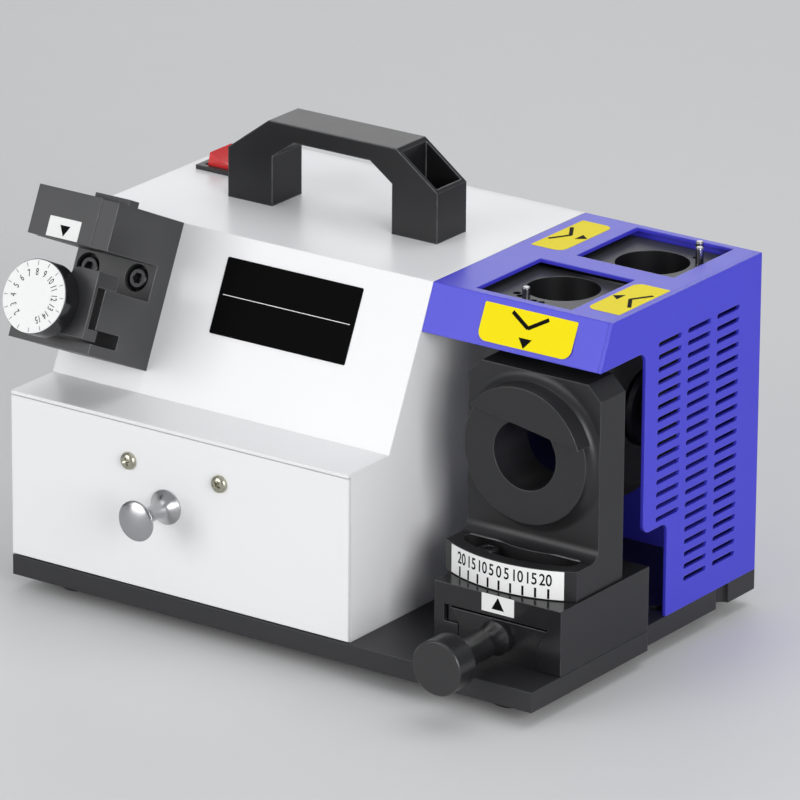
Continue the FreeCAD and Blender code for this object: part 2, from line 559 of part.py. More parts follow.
def grinding_head():
    """The hub, the bevelled grinding wheel, its clamp washer and nut, on the end of the motor's shaft."""
    hub = Piece("wheel_hub", ("wheel_x - 12", "axis_y", "axis_z"), ALONG_X)
    bore = "shaft_r + seat_gap"
    hub.turned("form", [(bore, "0"), ("14", "0"), ("14", "5"), ("hub_r", "8"), ("hub_r", "12"),
                        ("spigot_r", "12"), ("spigot_r", "12 + wheel_wide - 1"),
                        (bore, "12 + wheel_wide - 1")])
    wheel = Piece("grinding_wheel", ("wheel_x", "axis_y", "axis_z"), ALONG_X)
    hole = "spigot_r + seat_gap"
    wheel.turned("form", [(hole, "0"), ("wheel_r - 12", "0"), ("wheel_r - wheel_bevel", "0"),
                          ("wheel_r", "wheel_bevel"), ("wheel_r", "wheel_wide - wheel_bevel"),
                          ("wheel_r - wheel_bevel", "wheel_wide"), (hole, "wheel_wide")])
    washer = Piece("wheel_washer", ("wheel_x + wheel_wide", "axis_y", "axis_z"), ALONG_X)
    washer.turned("form", [(bore, "0"), ("hub_r - 2", "0"), ("hub_r - 2", "2"), ("hub_r - 4", "4"),
                           (bore, "4")])
    nut = Piece("wheel_nut", ("wheel_x + wheel_wide + 4", "axis_y", "axis_z"), ALONG_X)
    nut.pad("hex", "XY", [hexagon(11), ("circle", "0", "0", bore)], "6.5")
    return [hub.body, wheel.body, washer.body, nut.body]


def capacitor():
    """The motor's run capacitor and the strap that holds it to the deck."""
    can = Piece("run_capacitor", ("can_x + 22", "171", "21"), ALONG_X)
    can.turned("form", [("0", "0"), ("16", "0"), ("17", "1"), ("17", "57"), ("16", "58"), ("0", "58")])
    strap = Piece("capacitor_strap", ("can_x + 46", "171", "0"))
    strap.pad("band", "YZ", [[
        ("-27", "0"), ("27", "0"), ("27", "1.5"), ("18.6", "1.5"), ("18.6", "21"),
        ("0", "39.6", "18.6", "left"), ("-18.6", "21", "18.6", "left"), ("-18.6", "1.5"),
        ("-27", "1.5")]], "12")
    strap.pocket("bed", "YZ", [("circle", "0", "21", "17.1")], "40", middle=True)
    strap.pocket("bed_foot", "YZ", [box("-17.1", "-1", "17.1", "21")], "40", middle=True)
    return [can.body, strap.body]


# Wheel cover and top ports

def wheel_cover():
    """The cover over the wheel: a folded hood with two windows, and the vented side panel."""
    hood = Piece("wheel_cover", ("case_wide", "0", "0"))
    side = "deck_short - skin - case_wide"
    hood.pad("fold", "YZ", [[
        ("visor_y", "visor_z"), ("top_front", "case_tall"), ("case_deep", "case_tall"), ("case_deep", "0"),
        ("case_deep - skin", "0"), ("case_deep - skin", "case_tall - skin"),
        ("top_front + miter", "case_tall - skin"), ("visor_y + skin * 1.08", "visor_z")]], side)
    windows = [box("window_a_x - case_wide", "window_a_y", "window_a_x + window_a_long - case_wide",
                   "window_a_y + window_a_deep"),
               box("window_b_x - case_wide", "window_b_y", "window_b_x + window_b_long - case_wide",
                   "window_b_y + window_b_deep")]
    hood.pocket("windows", "XY", windows, "6 * skin", lift="case_tall", middle=True)
    panel = Piece("vent_panel", ("deck_short - skin", "0", "0"))
    panel.pad("sheet", "YZ", [[
        ("visor_y", "visor_z"), ("top_front", "case_tall"), ("case_deep", "case_tall"), ("case_deep", "0"),
        ("panel_step_y", "0"), ("panel_step_y", "panel_step_z - 5"),
        ("panel_step_y - 5", "panel_step_z", "5", "left"), ("panel_front + 5", "panel_step_z"),
        ("panel_front", "panel_step_z + 5", "5", "right"),
        ("panel_front", "visor_z - 6"), ("panel_front - 6", "visor_z", "6", "left")]], "skin")
    for column, count in enumerate((15, 21, 21)):
        slot = panel.pocket(f"vent_{column}", "YZ",
                            [("slot", f"vent_y + {column} * vent_column + vent_tall / 2", "vent_top",
                              "vent_long - vent_tall", "vent_tall / 2")], "6 * skin", middle=True)
        pattern = panel.repeat(f"vents_{column}", slot, "V_Axis", f"vent_pitch * {count - 1}", count)
        pattern.Reversed = True
    return [hood.body, panel.body]


def port_plate(label, low, high, bore, flat):
    """A port plate under a window of the cover, with its guide collar; flat is the bore's flat, if any."""
    top = "case_tall - port_drop"
    plate = Piece(label, ("0", "0", f"{top} - port_thick"))
    plate.pad("plate", "XY", [box(*low, *high)], "port_thick")
    plate.pad("collar", "XY", [("circle", *bore, "collar_r")], "collar_drop", back=True)
    if flat:
        half = math.sqrt(size("port_bore_r") ** 2 - size(flat) ** 2)
        left, right = f"{bore[0]} - {half}", f"{bore[0]} + {half}"
        line = f"{bore[1]} - {flat}"
        far = f"{bore[1]} + port_bore_r"
        loop = [(right, line), (bore[0], far, "port_bore_r", "left"), (left, line, "port_bore_r", "left")]
        plate.pocket("bore", "XY", [loop], "60", middle=True)
    else:
        plate.pocket("bore", "XY", [("circle", *bore, "port_bore_r")], "60", middle=True)
    return plate


def ports():
    """The two top ports, the pegs that index a chuck in them, and the bracket that carries both."""
    top = "case_tall - port_drop"
    bore_a, bore_b = ("port_a_x", "port_a_y"), ("port_b_x", "port_b_y")
    relief = port_plate("relief_port_plate", ("window_a_x - 4", "73"),
                        ("window_a_x + window_a_long + 4", "134"), bore_a, None)
    thinning = port_plate("thinning_port_plate", ("window_b_x - 4", "140"),
                          ("window_b_x + window_b_long + 4", "199"), bore_b, "port_flat")
    spots_a = [peg_spot(bore_a, angle) for angle in (254.4, 232, 243, 266, 277)]
    spots_b = [peg_spot(bore_b, angle) for angle in (22, 44, 11, 33, 55)]
    for plate, spots in ((relief, spots_a), (thinning, spots_b)):
        plate.pocket("peg_holes", "XY", [("circle", *spot, "peg_r + seat_gap") for spot in spots],
                     "port_thick - 2", lift="port_thick")
    short = Piece("relief_peg", (*spots_a[0], f"{top} - 5"))
    short.turned("form", [("0", "0"), ("peg_r", "0"), ("peg_r", "10.5"), ("peg_r - 0.5", "11"),
                          ("0", "11")])
    tall = Piece("peg_form")
    tall.turned("form", [("0", "0"), ("peg_r", "0"), ("peg_r", "14.5"), ("peg_r - 0.5", "15"), ("0", "15")])
    bracket = Piece("port_bracket", ("case_wide", "0", f"{top} - port_thick - shelf_thick"))
    bracket.pad("shelf", "XY", [box("0", "73", "98", "199")], "shelf_thick")
    bracket.pad("wall", "XY", [box("0", "112", "shelf_thick", "199")], "14", back=True)
    holes = [("circle", f"{x} - case_wide", y, "collar_r + 0.5") for x, y in (bore_a, bore_b)]
    bracket.pocket("collar_holes", "XY", holes, "20", middle=True)
    return [relief.body, thinning.body, short.body, bracket.body,
            group("thinning_pegs", tall, [(*spot, f"{top} - 5") for spot in spots_b[:2]])]


def peg_spot(bore, angle):
    """A point on a port's peg circle."""
    return (f"{bore[0]} + peg_circle * {math.cos(math.radians(angle))}",
            f"{bore[1]} + peg_circle * {math.sin(math.radians(angle))}")


# Feed slide

def feed_way():
    """The dovetail way on the deck, hollowed for the feed nut."""
    way = Piece("feed_way", ("way_x", "0", "0"))
    way.pad("tail", "XZ", [[
        ("-neck_half", "0"), ("neck_half", "0"), ("neck_half", "neck_tall"), ("tail_half", "tail_tall"),
        ("-tail_half", "tail_tall"), ("-neck_half", "neck_tall")]],
        "way_back - way_front", lift="-way_front", back=True)
    way.pocket("channel", "XY", [box("-channel_half", "channel_front", "channel_half", "channel_back")],
               "tail_tall - 2", lift="tail_tall")
    way.pocket("screw_bore", "XZ", [("circle", "0", "screw_z", "screw_r + running_gap")],
               "channel_front", lift="-way_front + 2")
    return [way.body]


def feed_saddle():
    """The saddle on the way, with its gib, nut, pivot pin and angle clamp screw."""
    saddle = Piece("feed_saddle", ("way_x", "saddle_front", "0"))
    left, right = "saddle_left - way_x", "saddle_left + saddle_wide - way_x"
    saddle.pad("block", "XZ", [box(left, "saddle_clear", right, "saddle_tall")], "saddle_deep", back=True)
    gap = "slide_gap"
    roof = "tail_tall + top_gap"
    low = "neck_tall - 0.3"
    saddle.pocket("tail_groove", "XZ", [[
        (f"-neck_half - {gap}", "-5"), (f"neck_half + {gap}", "-5"), (f"neck_half + {gap}", low),
        (f"tail_half + {gap} + 0.6", roof), ("-gib_half - gib_gap", roof), ("-gib_half - gib_gap", low),
        (f"-neck_half - {gap}", low)]], "saddle_deep * 3", middle=True)
    saddle.pad("pivot_lug", "XY", [("circle", "swivel_x - way_x", "swivel_y - saddle_front", "lug_r")],
               "saddle_tall - tail_tall - 2", lift="tail_tall + 2")
    turn = math.radians(size("clamp_turn"))
    clamp = (f"swivel_x - slot_r * {math.sin(turn)}", f"swivel_y - slot_r * {math.cos(turn)}")
    drills = [("circle", "swivel_x - way_x", "swivel_y - saddle_front", "pivot_r + seat_gap"),
              ("circle", f"{clamp[0]} - way_x", f"{clamp[1]} - saddle_front", "3.05")]
    saddle.pocket("pin_holes", "XY", drills, "saddle_tall", lift="saddle_tall")
    gib = Piece("gib_strip", ("way_x", "saddle_front", "0"))
    gib.pad("bar", "XZ", [[
        ("-gib_half", low), (f"-neck_half - {gap}", low), (f"-tail_half - {gap}", "tail_tall"),
        ("-gib_half", "tail_tall")]], "saddle_deep - 4", lift="-2", back=True)
    nut = Piece("feed_nut", ("way_x", "nut_y", "0"))
    nut.pad("block", "XZ", [box("-nut_half", "screw_z - 7.5", "nut_half", roof)], "nut_long", back=True)
    nut.pocket("bore", "XZ", [("circle", "0", "screw_z", "screw_r + running_gap")],
               "nut_long * 3", middle=True)
    pin = Piece("pivot_pin", ("swivel_x", "swivel_y", "tail_tall + 3"))
    length = "tongue_top - tail_tall - 4"
    pin.turned("form", [("0", "0"), ("pivot_r", "0"), ("pivot_r", length), ("0", length)])
    screw = cap_screw("angle_clamp_screw", "3", "18", "5", "6")
    screw.body.Label = "angle_clamp_screw"
    place(screw.body, (*clamp, "slot_step + 0.2"))
    return [saddle.body, gib.body, nut.body, pin.body, screw.body]


def feed_screw():
    """The feed screw with its thrust collar, and the knob whose long hub runs against the way."""
    screw = Piece("feed_screw", ("way_x", "way_front", "screw_z"), TO_FRONT)
    back = "channel_back - way_front - 4"
    reach = "way_front - feed_knob_front"
    inside = "way_front - channel_front - 0.3"
    screw.turned("form", [("0", f"-({back})"), ("screw_r", f"-({back})"), ("screw_r", f"{inside} - 2.5"),
                          ("collar_half", f"{inside} - 2.5"), ("collar_half", inside), ("screw_r", inside),
                          ("screw_r", f"{reach} - 4"), ("0", f"{reach} - 4")])
    knob = Piece("feed_knob", ("way_x", "feed_knob_front", "screw_z"), TO_BACK)
    end = f"{reach} - 0.3"
    knob.turned("form", [("0", "0"), ("feed_knob_r - 0.6", "0"), ("feed_knob_r", "0.6"),
                         ("feed_knob_r", "feed_knob_long - 0.6"), ("feed_knob_r - 0.6", "feed_knob_long"),
                         ("feed_hub_r", "feed_knob_long"), ("feed_hub_waist", f"{end} - 14", "90", "right"),
                         ("feed_hub_r + 0.4", f"{end} - 3", "16", "right"), ("feed_hub_r", end),
                         ("screw_r + seat_gap", end), ("screw_r + seat_gap", "4"), ("0", "4")])
    return [screw.body, knob.body]


# Swivelling point station

def swivel_block():
    """The point station: a scale shelf, an upright with the port and its helical relief cam, and a tongue."""
    block = Piece("swivel_block", ("swivel_x", "0", "0"))
    half = "station_half"
    block.pad("shelf", "XY", [box(f"-{half}", "swivel_y - scale_r - 1", half, "upright_back")],
              "shelf_top - swivel_low", lift="swivel_low")
    block.pocket("scale_arc", "XY", [box("-90", "swivel_y - 90", "90", "swivel_y + 90"),
                                     ("circle", "0", "swivel_y", "scale_r")], "200", middle=True)
    upright = [(f"-{half}", "swivel_low"), (half, "swivel_low"), (half, "station_top - corner_cut"),
               (f"{half} - corner_cut", "station_top"), (f"-{half} + corner_cut", "station_top"),
               (f"-{half}", "station_top - corner_cut")]
    block.pad("upright", "XZ", [upright], "upright_back - upright_front", lift="-upright_front", back=True)
    block.dress("Fillet", "shelf_fillet", "shelf_round",
                lambda edge: is_level_edge(edge, "upright_front", "shelf_top"))
    block.pad("tongue", "XY", [box("-lug_r", "upright_back - 2", "lug_r", "swivel_y")],
              "tongue_top - swivel_low", lift="swivel_low")
    block.pad("eye", "XY", [("circle", "0", "swivel_y", "lug_r")],
              "tongue_top - swivel_low", lift="swivel_low")
    block.pocket("pivot_bore", "XY", [("circle", "0", "swivel_y", "pivot_r + running_gap")],
                 "200", middle=True)
    front = "upright_front - boss_proud"
    block.turned("boss", [("8", "upright_front + 2"), ("8", front), ("boss_r", front),
                          ("boss_r", "upright_front - boss_flare"),
                          ("boss_r + boss_flare", "upright_front", "boss_flare", "right"),
                          ("boss_r + boss_flare", "upright_front + 2")], "XY", "point_z")
    block.pocket("outline_trim", "XZ", [box("-90", "-30", "90", "230"), upright], "400", middle=True)
    cut_cam(block)
    block.pocket("bore", "XZ", [("circle", "0", "point_z", "point_bore_r")], "200", middle=True)
    add_flat(block)
    cut_kidney(block, "head_slot", "slot_half", "shelf_top - slot_step")
    cut_kidney(block, "shank_slot", "shank_half", "shelf_top")
    return [block.body]


def is_level_edge(edge, y, z):
    """True for a straight edge along X at a given y and z."""
    bounds = edge.BoundBox
    return (abs(bounds.YMin - size(y)) < 0.01 and abs(bounds.YMax - size(y)) < 0.01
            and abs(bounds.ZMin - size(z)) < 0.01 and abs(bounds.ZMax - size(z)) < 0.01)


def cut_cam(block):
    """Sinks a helical ramp into the boss's face, from nothing at the flat's left end to full at its right."""
    front = "upright_front - boss_proud"
    outline = box("10", f"{front} - 20", "boss_r + 8", front)
    drawing = block.sketch("cam_outline", "XY", [outline], lift="point_z")
    axis_turn = Rotation(Vector(0, 1, 0), -size("cam_start"))
    drawing.AttachmentOffset = Placement(Vector(0, 0, size("point_z")), axis_turn)
    cam = block.body.newObject("PartDesign::SubtractiveHelix", "relief_cam")
    cam.Profile = drawing
    cam.ReferenceAxis = (drawing, ["V_Axis"])
    cam.Mode = "pitch-turns-angle"
    cam.setExpression("Pitch", cells("cam_rise / cam_turns"))
    cam.setExpression("Turns", cells("cam_turns"))
    cam.LeftHanded = True
    return cam


def add_flat(block):
    """Adds the stop plate above the bore: part of a disc, cut off straight and a little tilted."""
    lean = math.tan(math.radians(size("flat_tilt")))
    over, radius = size("flat_over"), size("stop_r")
    ends = []
    for side in (-1, 1):
        a, b, c = 1 + lean ** 2, -2 * over * lean, over ** 2 - radius ** 2
        across = (-b + side * math.sqrt(b * b - 4 * a * c)) / (2 * a)
        ends.append((f"{across}", f"point_z + {over - lean * across}"))
    outline = [ends[1], ("0", "point_z + stop_r", "stop_r", "left"), (*ends[0], "stop_r", "left")]
    block.pad("stop_flat", "XZ", [outline], "stop_proud", lift="-upright_front")


def cut_kidney(block, name, half, depth):
    """Cuts an arc-shaped slot with round ends about the swivel axis, down from the shelf's top."""
    left, right = math.radians(-size("slot_left")), math.radians(size("slot_right"))

    def spot(angle, outward, along):
        reach = f"(slot_r + {outward} * {half})"
        return (f"{reach} * {math.sin(angle)} + {along} * {half} * {math.cos(angle)}",
                f"swivel_y - {reach} * {math.cos(angle)} + {along} * {half} * {math.sin(angle)}")

    loop = [(*spot(right, 1, 0), f"slot_r + {half}", "left"), (*spot(right, 0, 1), half, "left"),
            (*spot(right, -1, 0), half, "left"), (*spot(left, -1, 0), f"slot_r - {half}", "right"),
            (*spot(left, 0, -1), half, "left"), (*spot(left, 1, 0), half, "left")]
    block.pocket(name, "XY", [loop], depth, lift="shelf_top")


# Setting gauge

def gauge():
    """The setting gauge on the slope: body, index plate, slider, dial and screws."""
    body = Piece("gauge_body", slope=("gauge_x", "0", "0"))
    body.pad("profile", "YZ", [[
        ("gauge_low", "0"), ("gauge_low", "ledge_out"), ("ledge_top", "ledge_out"), ("ledge_top", "slot_in"),
        ("bed_low", "slot_in"), ("bed_low", "bed_out"), ("notch_low", "bed_out"),
        ("notch_low", "gauge_plate"), ("notch_high", "gauge_plate"), ("notch_high", "arm_out"),
        ("gauge_high", "arm_out"), ("gauge_high", "0")]], "gauge_wide")
    body.pad("cheek", "YZ", [box("notch_high", "arm_out - 2", "gauge_high", "index_out")], "cheek_wide",
             lift="gauge_wide - cheek_wide")
    body.pad("tab", "YZ", [box("gauge_high - 2", "arm_out - 8.3", "gauge_high + 3", "arm_out")], "21",
             lift="gauge_wide - 21")
    spots = [(f"gauge_screw_left - gauge_x + {n} * gauge_screw_gap", "gauge_screw_up") for n in (0, 1)]
    body.pocket("screw_holes", "XY", [("circle", *spot, "3.3") for spot in spots], "40", middle=True)
    body.pocket("counterbores", "XY", [("circle", *spot, "counterbore_r") for spot in spots], "7",
                lift="gauge_plate")
    centre = "gauge_wide / 2"
    hole = ("circle", centre, "dial_up", "spindle_r + running_gap")
    body.pocket("spindle_bore", "XY", [hole], "bed_out - 10", lift="bed_out")
    index = Piece("gauge_index_plate", slope=("gauge_x", "0", "0"))
    plate = box("0", "notch_high + 0.2", "gauge_wide - cheek_wide - 0.2", "gauge_high + 0.5")
    index.pad("plate", "XY", [plate], "index_out - arm_out", lift="arm_out")
    slider = Piece("gauge_slider", slope=("gauge_x", "0", "0"))
    half = "(dial_up - slider_low)"
    edge = f"{centre} + sqrt(slider_eye_r ^ 2 - {half} ^ 2)"
    slider.pad("plate", "XY", [[
        ("gauge_wide", "slider_low"), ("gauge_wide", "slider_high"),
        (f"{edge} + slider_round", "slider_high"),
        (edge, "slider_high - slider_round", "slider_round", "left"), (edge, f"dial_up + {half}"),
        (f"{centre} - slider_eye_r", "dial_up", "slider_eye_r", "left"),
        (edge, "slider_low", "slider_eye_r", "left")]], "slider_out - slider_in", lift="slider_in")
    long = f"gauge_wide - ({edge}) - slider_round"
    slider.pad("lip", "YZ", [box("notch_low + 0.3", "lip_in", "slider_high", "slider_out - 1")], long,
               lift=f"{edge} + slider_round")
    slider.pad("toe", "YZ", [box("slider_low", "toe_in", "slider_low + toe_tall", "slider_out - 1")], long,
               lift=f"{edge} + slider_round")
    slider.pocket("spindle_bore", "XY", [hole], "300", middle=True)
    axis = (f"gauge_x + {centre}", "dial_up", "0")
    bore, seat = "spindle_r + seat_gap", "dial_out - 3"
    dial = Piece("gauge_dial", slope=axis)
    dial.turned("form", [(bore, "dial_in"), ("dial_r - 1.5", "dial_in"), ("dial_r", "dial_in + 1.5"),
                         ("dial_r", "dial_out"), ("0", "dial_out"), ("0", seat), (bore, seat)])
    face = Piece("dial_face", slope=axis)
    rim, top = "dial_r - 0.4", "dial_out + dial_face_thick"
    face.turned("form", [("0", "dial_out"), (rim, "dial_out"), (rim, top), ("0", top)])
    spindle = Piece("dial_spindle", slope=axis)
    spindle.turned("form", [("0", "18"), ("spindle_r", "18"), ("spindle_r", seat), ("0", seat)])
    screw = cap_screw("gauge_screw_form", "3", "14", "5.2", "6")
    places = [(f"gauge_screw_left + {n} * gauge_screw_gap", "gauge_screw_up", "gauge_plate - 7")
              for n in (0, 1)]
    return [body.body, index.body, slider.body, dial.body, face.body, spindle.body,
            group("gauge_screws", screw, places, ON_SLOPE)]


def build():
    """Makes every sub-part, in the order of its assembly."""
    shell = case()
    pieces = deck_and_feet() + [slope_holes(shell)] + rear_panel() + drawer() + handle() + switch() + inlet()
    pieces += motor() + grinding_head() + capacitor() + wheel_cover() + ports()
    pieces += feed_way() + feed_saddle() + feed_screw() + swivel_block() + gauge()
    return pieces


def check_and_write(pieces):
    """Stops at the first failed object, and otherwise writes one file for each sub-part."""
    doc.recompute()
    for item in doc.Objects:
        if {"Invalid", "Error"} & set(item.State):
            raise ValueError(f"{item.Label} failed: {item.State}")
    for piece in pieces:
        if piece.Shape.isNull() or not piece.Shape.isValid() or not piece.Shape.Solids:
            raise ValueError(f"{piece.Label} has no valid solid")
    os.makedirs("parts", exist_ok=True)
    for piece in pieces:
        piece.Shape.exportStep(f"parts/{piece.Label}.step")
        print(piece.Label, len(piece.Shape.Solids), "solids", round(piece.Shape.Volume / 1000, 2), "cm3")


check_and_write(build())
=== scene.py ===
"""Looks of a benchtop drill bit sharpener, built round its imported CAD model.

Shapes are drawn in millimetres. Places are given in the machine frame of the CAD model: x from the drawer's
left end, y back from the drawer's front, z up from the deck's top.
"""

import logging
import math
from dataclasses import dataclass
from enum import Enum
from typing import Any

import bmesh
import bpy
from mathutils import Matrix, Vector


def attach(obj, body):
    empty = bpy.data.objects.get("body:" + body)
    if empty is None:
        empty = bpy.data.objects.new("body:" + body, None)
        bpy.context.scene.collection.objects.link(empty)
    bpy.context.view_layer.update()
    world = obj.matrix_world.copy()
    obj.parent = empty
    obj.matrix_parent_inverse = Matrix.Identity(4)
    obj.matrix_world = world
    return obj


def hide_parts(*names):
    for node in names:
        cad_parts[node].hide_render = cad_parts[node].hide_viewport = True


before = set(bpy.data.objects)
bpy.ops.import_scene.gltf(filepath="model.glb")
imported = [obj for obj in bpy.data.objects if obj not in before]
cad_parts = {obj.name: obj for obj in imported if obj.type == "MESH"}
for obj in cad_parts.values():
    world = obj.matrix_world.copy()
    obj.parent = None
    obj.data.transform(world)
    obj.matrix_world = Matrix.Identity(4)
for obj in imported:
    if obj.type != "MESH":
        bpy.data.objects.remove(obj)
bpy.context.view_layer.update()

LOG = logging.getLogger("sharpener")
MM = 0.001
ORIGIN = Vector((157.0, 88.494, -18.5))
SLOPE_FOOT = (0.0, 33.6, 87.2)
SLOPE_ANGLE = math.atan2(79.2, 36.6)
PROUD = 0.12
Colour = tuple[float, float, float]


class Facing(Enum):
    """Ways that a face can point, as a turn about the machine's X axis."""

    UP = 0.0
    FRONT = math.pi / 2
    BACK = -math.pi / 2
    SLOPE = SLOPE_ANGLE


def machine(x: float, y: float, z: float) -> Matrix:
    """Gives the place of a point of the machine frame.

    Args:
        x, y, z: the point, in millimetres.

    Returns:
        A move in metres in the CAD model's frame.
    """
    return Matrix.Translation((Vector((x, y, z)) - ORIGIN) * MM)


def facing(way: Facing, x: float, y: float, z: float) -> Matrix:
    """Gives a place whose own Z points out of a face of the machine."""
    return machine(x, y, z) @ Matrix.Rotation(way.value, 4, "X")


def on_slope(across: float, up: float, out: float = 0.0) -> Matrix:
    """Gives a place on the case's slope, counted from the slope's lower left corner."""
    return facing(Facing.SLOPE, *SLOPE_FOOT) @ moved(across, up, out)


def moved(x: float, y: float, z: float = 0.0) -> Matrix:
    """Gives a move in a place's own axes, in millimetres."""
    return Matrix.Translation(Vector((x, y, z)) * MM)


def turned(degrees: float) -> Matrix:
    """Gives a turn about a place's own Z."""
    return Matrix.Rotation(math.radians(degrees), 4, "Z")


class Socket:
    """A shader output that takes part in plain arithmetic."""

    def __init__(self, graph: "Graph", link: bpy.types.NodeSocket) -> None:
        """Keeps the graph and the output that this value stands for."""
        self.graph = graph
        self.link = link

    def _math(self, operation: str, first: Any, second: Any) -> "Socket":
        """Adds a Math node for two values."""
        return self.graph.make("ShaderNodeMath", {"operation": operation}, {0: first, 1: second})

    def __add__(self, other: Any) -> "Socket":
        """Adds."""
        return self._math("ADD", self, other)

    __radd__ = __add__

    def __sub__(self, other: Any) -> "Socket":
        """Takes other away."""
        return self._math("SUBTRACT", self, other)

    def __rsub__(self, other: Any) -> "Socket":
        """Takes this away from other."""
        return self._math("SUBTRACT", other, self)

    def __mul__(self, other: Any) -> "Socket":
        """Multiplies."""
        return self._math("MULTIPLY", self, other)

    __rmul__ = __mul__

    def above(self, other: Any) -> "Socket":
        """Gives 1 where this is above other, and 0 elsewhere."""
        return self._math("GREATER_THAN", self, other)


class Graph:
    """A node tree of a material or of the world, with short ways to add to it."""

    def __init__(self, owner: bpy.types.Material | bpy.types.World) -> None:
        """Empties the owner's tree and starts again."""
        owner.use_nodes = True
        self.tree = owner.node_tree
        self.tree.nodes.clear()

    def node(self, kind: str, settings: dict[str, Any], inputs: dict[Any, Any]) -> bpy.types.Node:
        """Adds any node.

        Args:
            kind: the node's type.
            settings: its own settings; stops are a colour ramp's places and colours.
            inputs: values or sockets for its inputs, by name or number.

        Returns:
            The node.
        """
        node = self.tree.nodes.new(kind)
        stops = settings.get("stops")
        for key, value in settings.items():
            if key != "stops":
                setattr(node, key, value)
        if stops:
            while len(node.color_ramp.elements) < len(stops):
                node.color_ramp.elements.new(0.5)
            for element, (place, shade) in zip(node.color_ramp.elements, stops):
                element.position = place
                element.color = (*shade, 1.0)
        for key, value in inputs.items():
            if isinstance(value, Socket):
                self.tree.links.new(value.link, node.inputs[key])
            else:
                node.inputs[key].default_value = value
        return node

    def make(self, kind: str, settings: dict[str, Any], inputs: dict[Any, Any], output: Any = 0) -> Socket:
        """Adds any node and gives one of its outputs."""
        return Socket(self, self.node(kind, settings, inputs).outputs[output])

    def place(self, scale: Colour = (1.0, 1.0, 1.0)) -> Socket:
        """Gives the piece's own coordinates, stretched."""
        here = self.make("ShaderNodeTexCoord", {}, {}, "Object")
        return self.make("ShaderNodeMapping", {}, {"Vector": here, "Scale": scale})

    def noise(self, where: Socket, scale: float, detail: float = 3.0) -> Socket:
        """Gives soft noise from 0 to 1."""
        return self.make("ShaderNodeTexNoise", {}, {"Vector": where, "Scale": scale, "Detail": detail})

    def clamp(self, value: Socket) -> Socket:
        """Keeps a value between 0 and 1."""
        return self.make("ShaderNodeClamp", {}, {"Value": value})

    def mix(self, share: Any, first: Any, second: Any) -> Socket:
        """Mixes two colours."""
        pair = [value if isinstance(value, Socket) else (*value, 1.0) for value in (first, second)]
        return self.make("ShaderNodeMix", {"data_type": "RGBA"}, {0: share, 6: pair[0], 7: pair[1]}, 2)

    def edges(self, radius: float) -> tuple[Socket, Socket]:
        """Gives a normal that is rounded at sharp edges, and how near an edge is."""
        soft = self.make("ShaderNodeBevel", {"samples": 6}, {"Radius": radius})
        true = self.make("ShaderNodeNewGeometry", {}, {}, "Normal")
        along = self.make("ShaderNodeVectorMath", {"operation": "DOT_PRODUCT"}, {0: soft, 1: true}, "Value")
        return soft, (1.0 - along) * 3.0


@dataclass(frozen=True)
class Finish:
    """A finish of one kind: an even coat with a fine grain, softened edges and a little wear.

    Sizes are in metres and grain counts are to a metre.
    """

    name: str
    colour: Colour
    roughness: float = 0.45
    metallic: float = 0.0
    coat: float = 0.0
    gloss: float = 0.5
    mottle: float = 0.05
    grain: float = 2500.0
    depth: float = 0.00001
    edge: float = 0.0005
    wear: float = 0.0
    worn: Colour = (0.5, 0.5, 0.5)

    def pattern(self, graph: Graph) -> Socket:
        """Gives the fine pattern that roughness and bump follow."""
        return graph.noise(graph.place(), self.grain)

    def tint(self, graph: Graph, pattern: Socket) -> Socket:
        """Gives the colour all over, before wear."""
        cloud = graph.noise(graph.place(), 28.0)
        dark = tuple(channel * (1.0 - self.mottle) for channel in self.colour)
        light = tuple(min(channel * (1.0 + self.mottle), 1.0) for channel in self.colour)
        return graph.mix(cloud * 0.6 + pattern * 0.4, dark, light)

    def material(self) -> bpy.types.Material:
        """Builds the material once and gives it.

        Returns:
            The material under this finish's name.
        """
        name = f"{self.name}_finish"
        if name in bpy.data.materials:
            return bpy.data.materials[name]
        material = bpy.data.materials.new(name)
        graph = Graph(material)
        pattern = self.pattern(graph)
        soft, near = graph.edges(self.edge)
        colour = self.tint(graph, pattern)
        if self.wear > 0.0:
            share = graph.clamp(graph.noise(graph.place(), 160.0) * near * self.wear)
            colour = graph.mix(share, colour, self.worn)
        bump = graph.make("ShaderNodeBump", {}, {"Strength": 0.6, "Distance": self.depth, "Height": pattern,
                                                 "Normal": soft})
        cloud = graph.noise(graph.place(), 60.0)
        rough = self.roughness * 0.85 + (cloud * 0.6 + pattern * 0.4) * (self.roughness * 0.3)
        shader = graph.node("ShaderNodeBsdfPrincipled", {}, {
            "Base Color": colour, "Roughness": rough, "Metallic": self.metallic, "Normal": bump,
            "Specular IOR Level": self.gloss, "Coat Weight": self.coat, "Coat Roughness": 0.12})
        graph.node("ShaderNodeOutputMaterial", {}, {"Surface": Socket(graph, shader.outputs[0])})
        return material


@dataclass(frozen=True)
class Brushed(Finish):
    """Bare metal with marks that run one way; along is the axis they run on."""

    metallic: float = 1.0
    along: int = 0

    def pattern(self, graph: Graph) -> Socket:
        """Gives noise drawn out along the marks."""
        stretch = [1.0, 1.0, 1.0]
        stretch[self.along] = 0.02
        return graph.noise(graph.place(tuple(stretch)), self.grain)


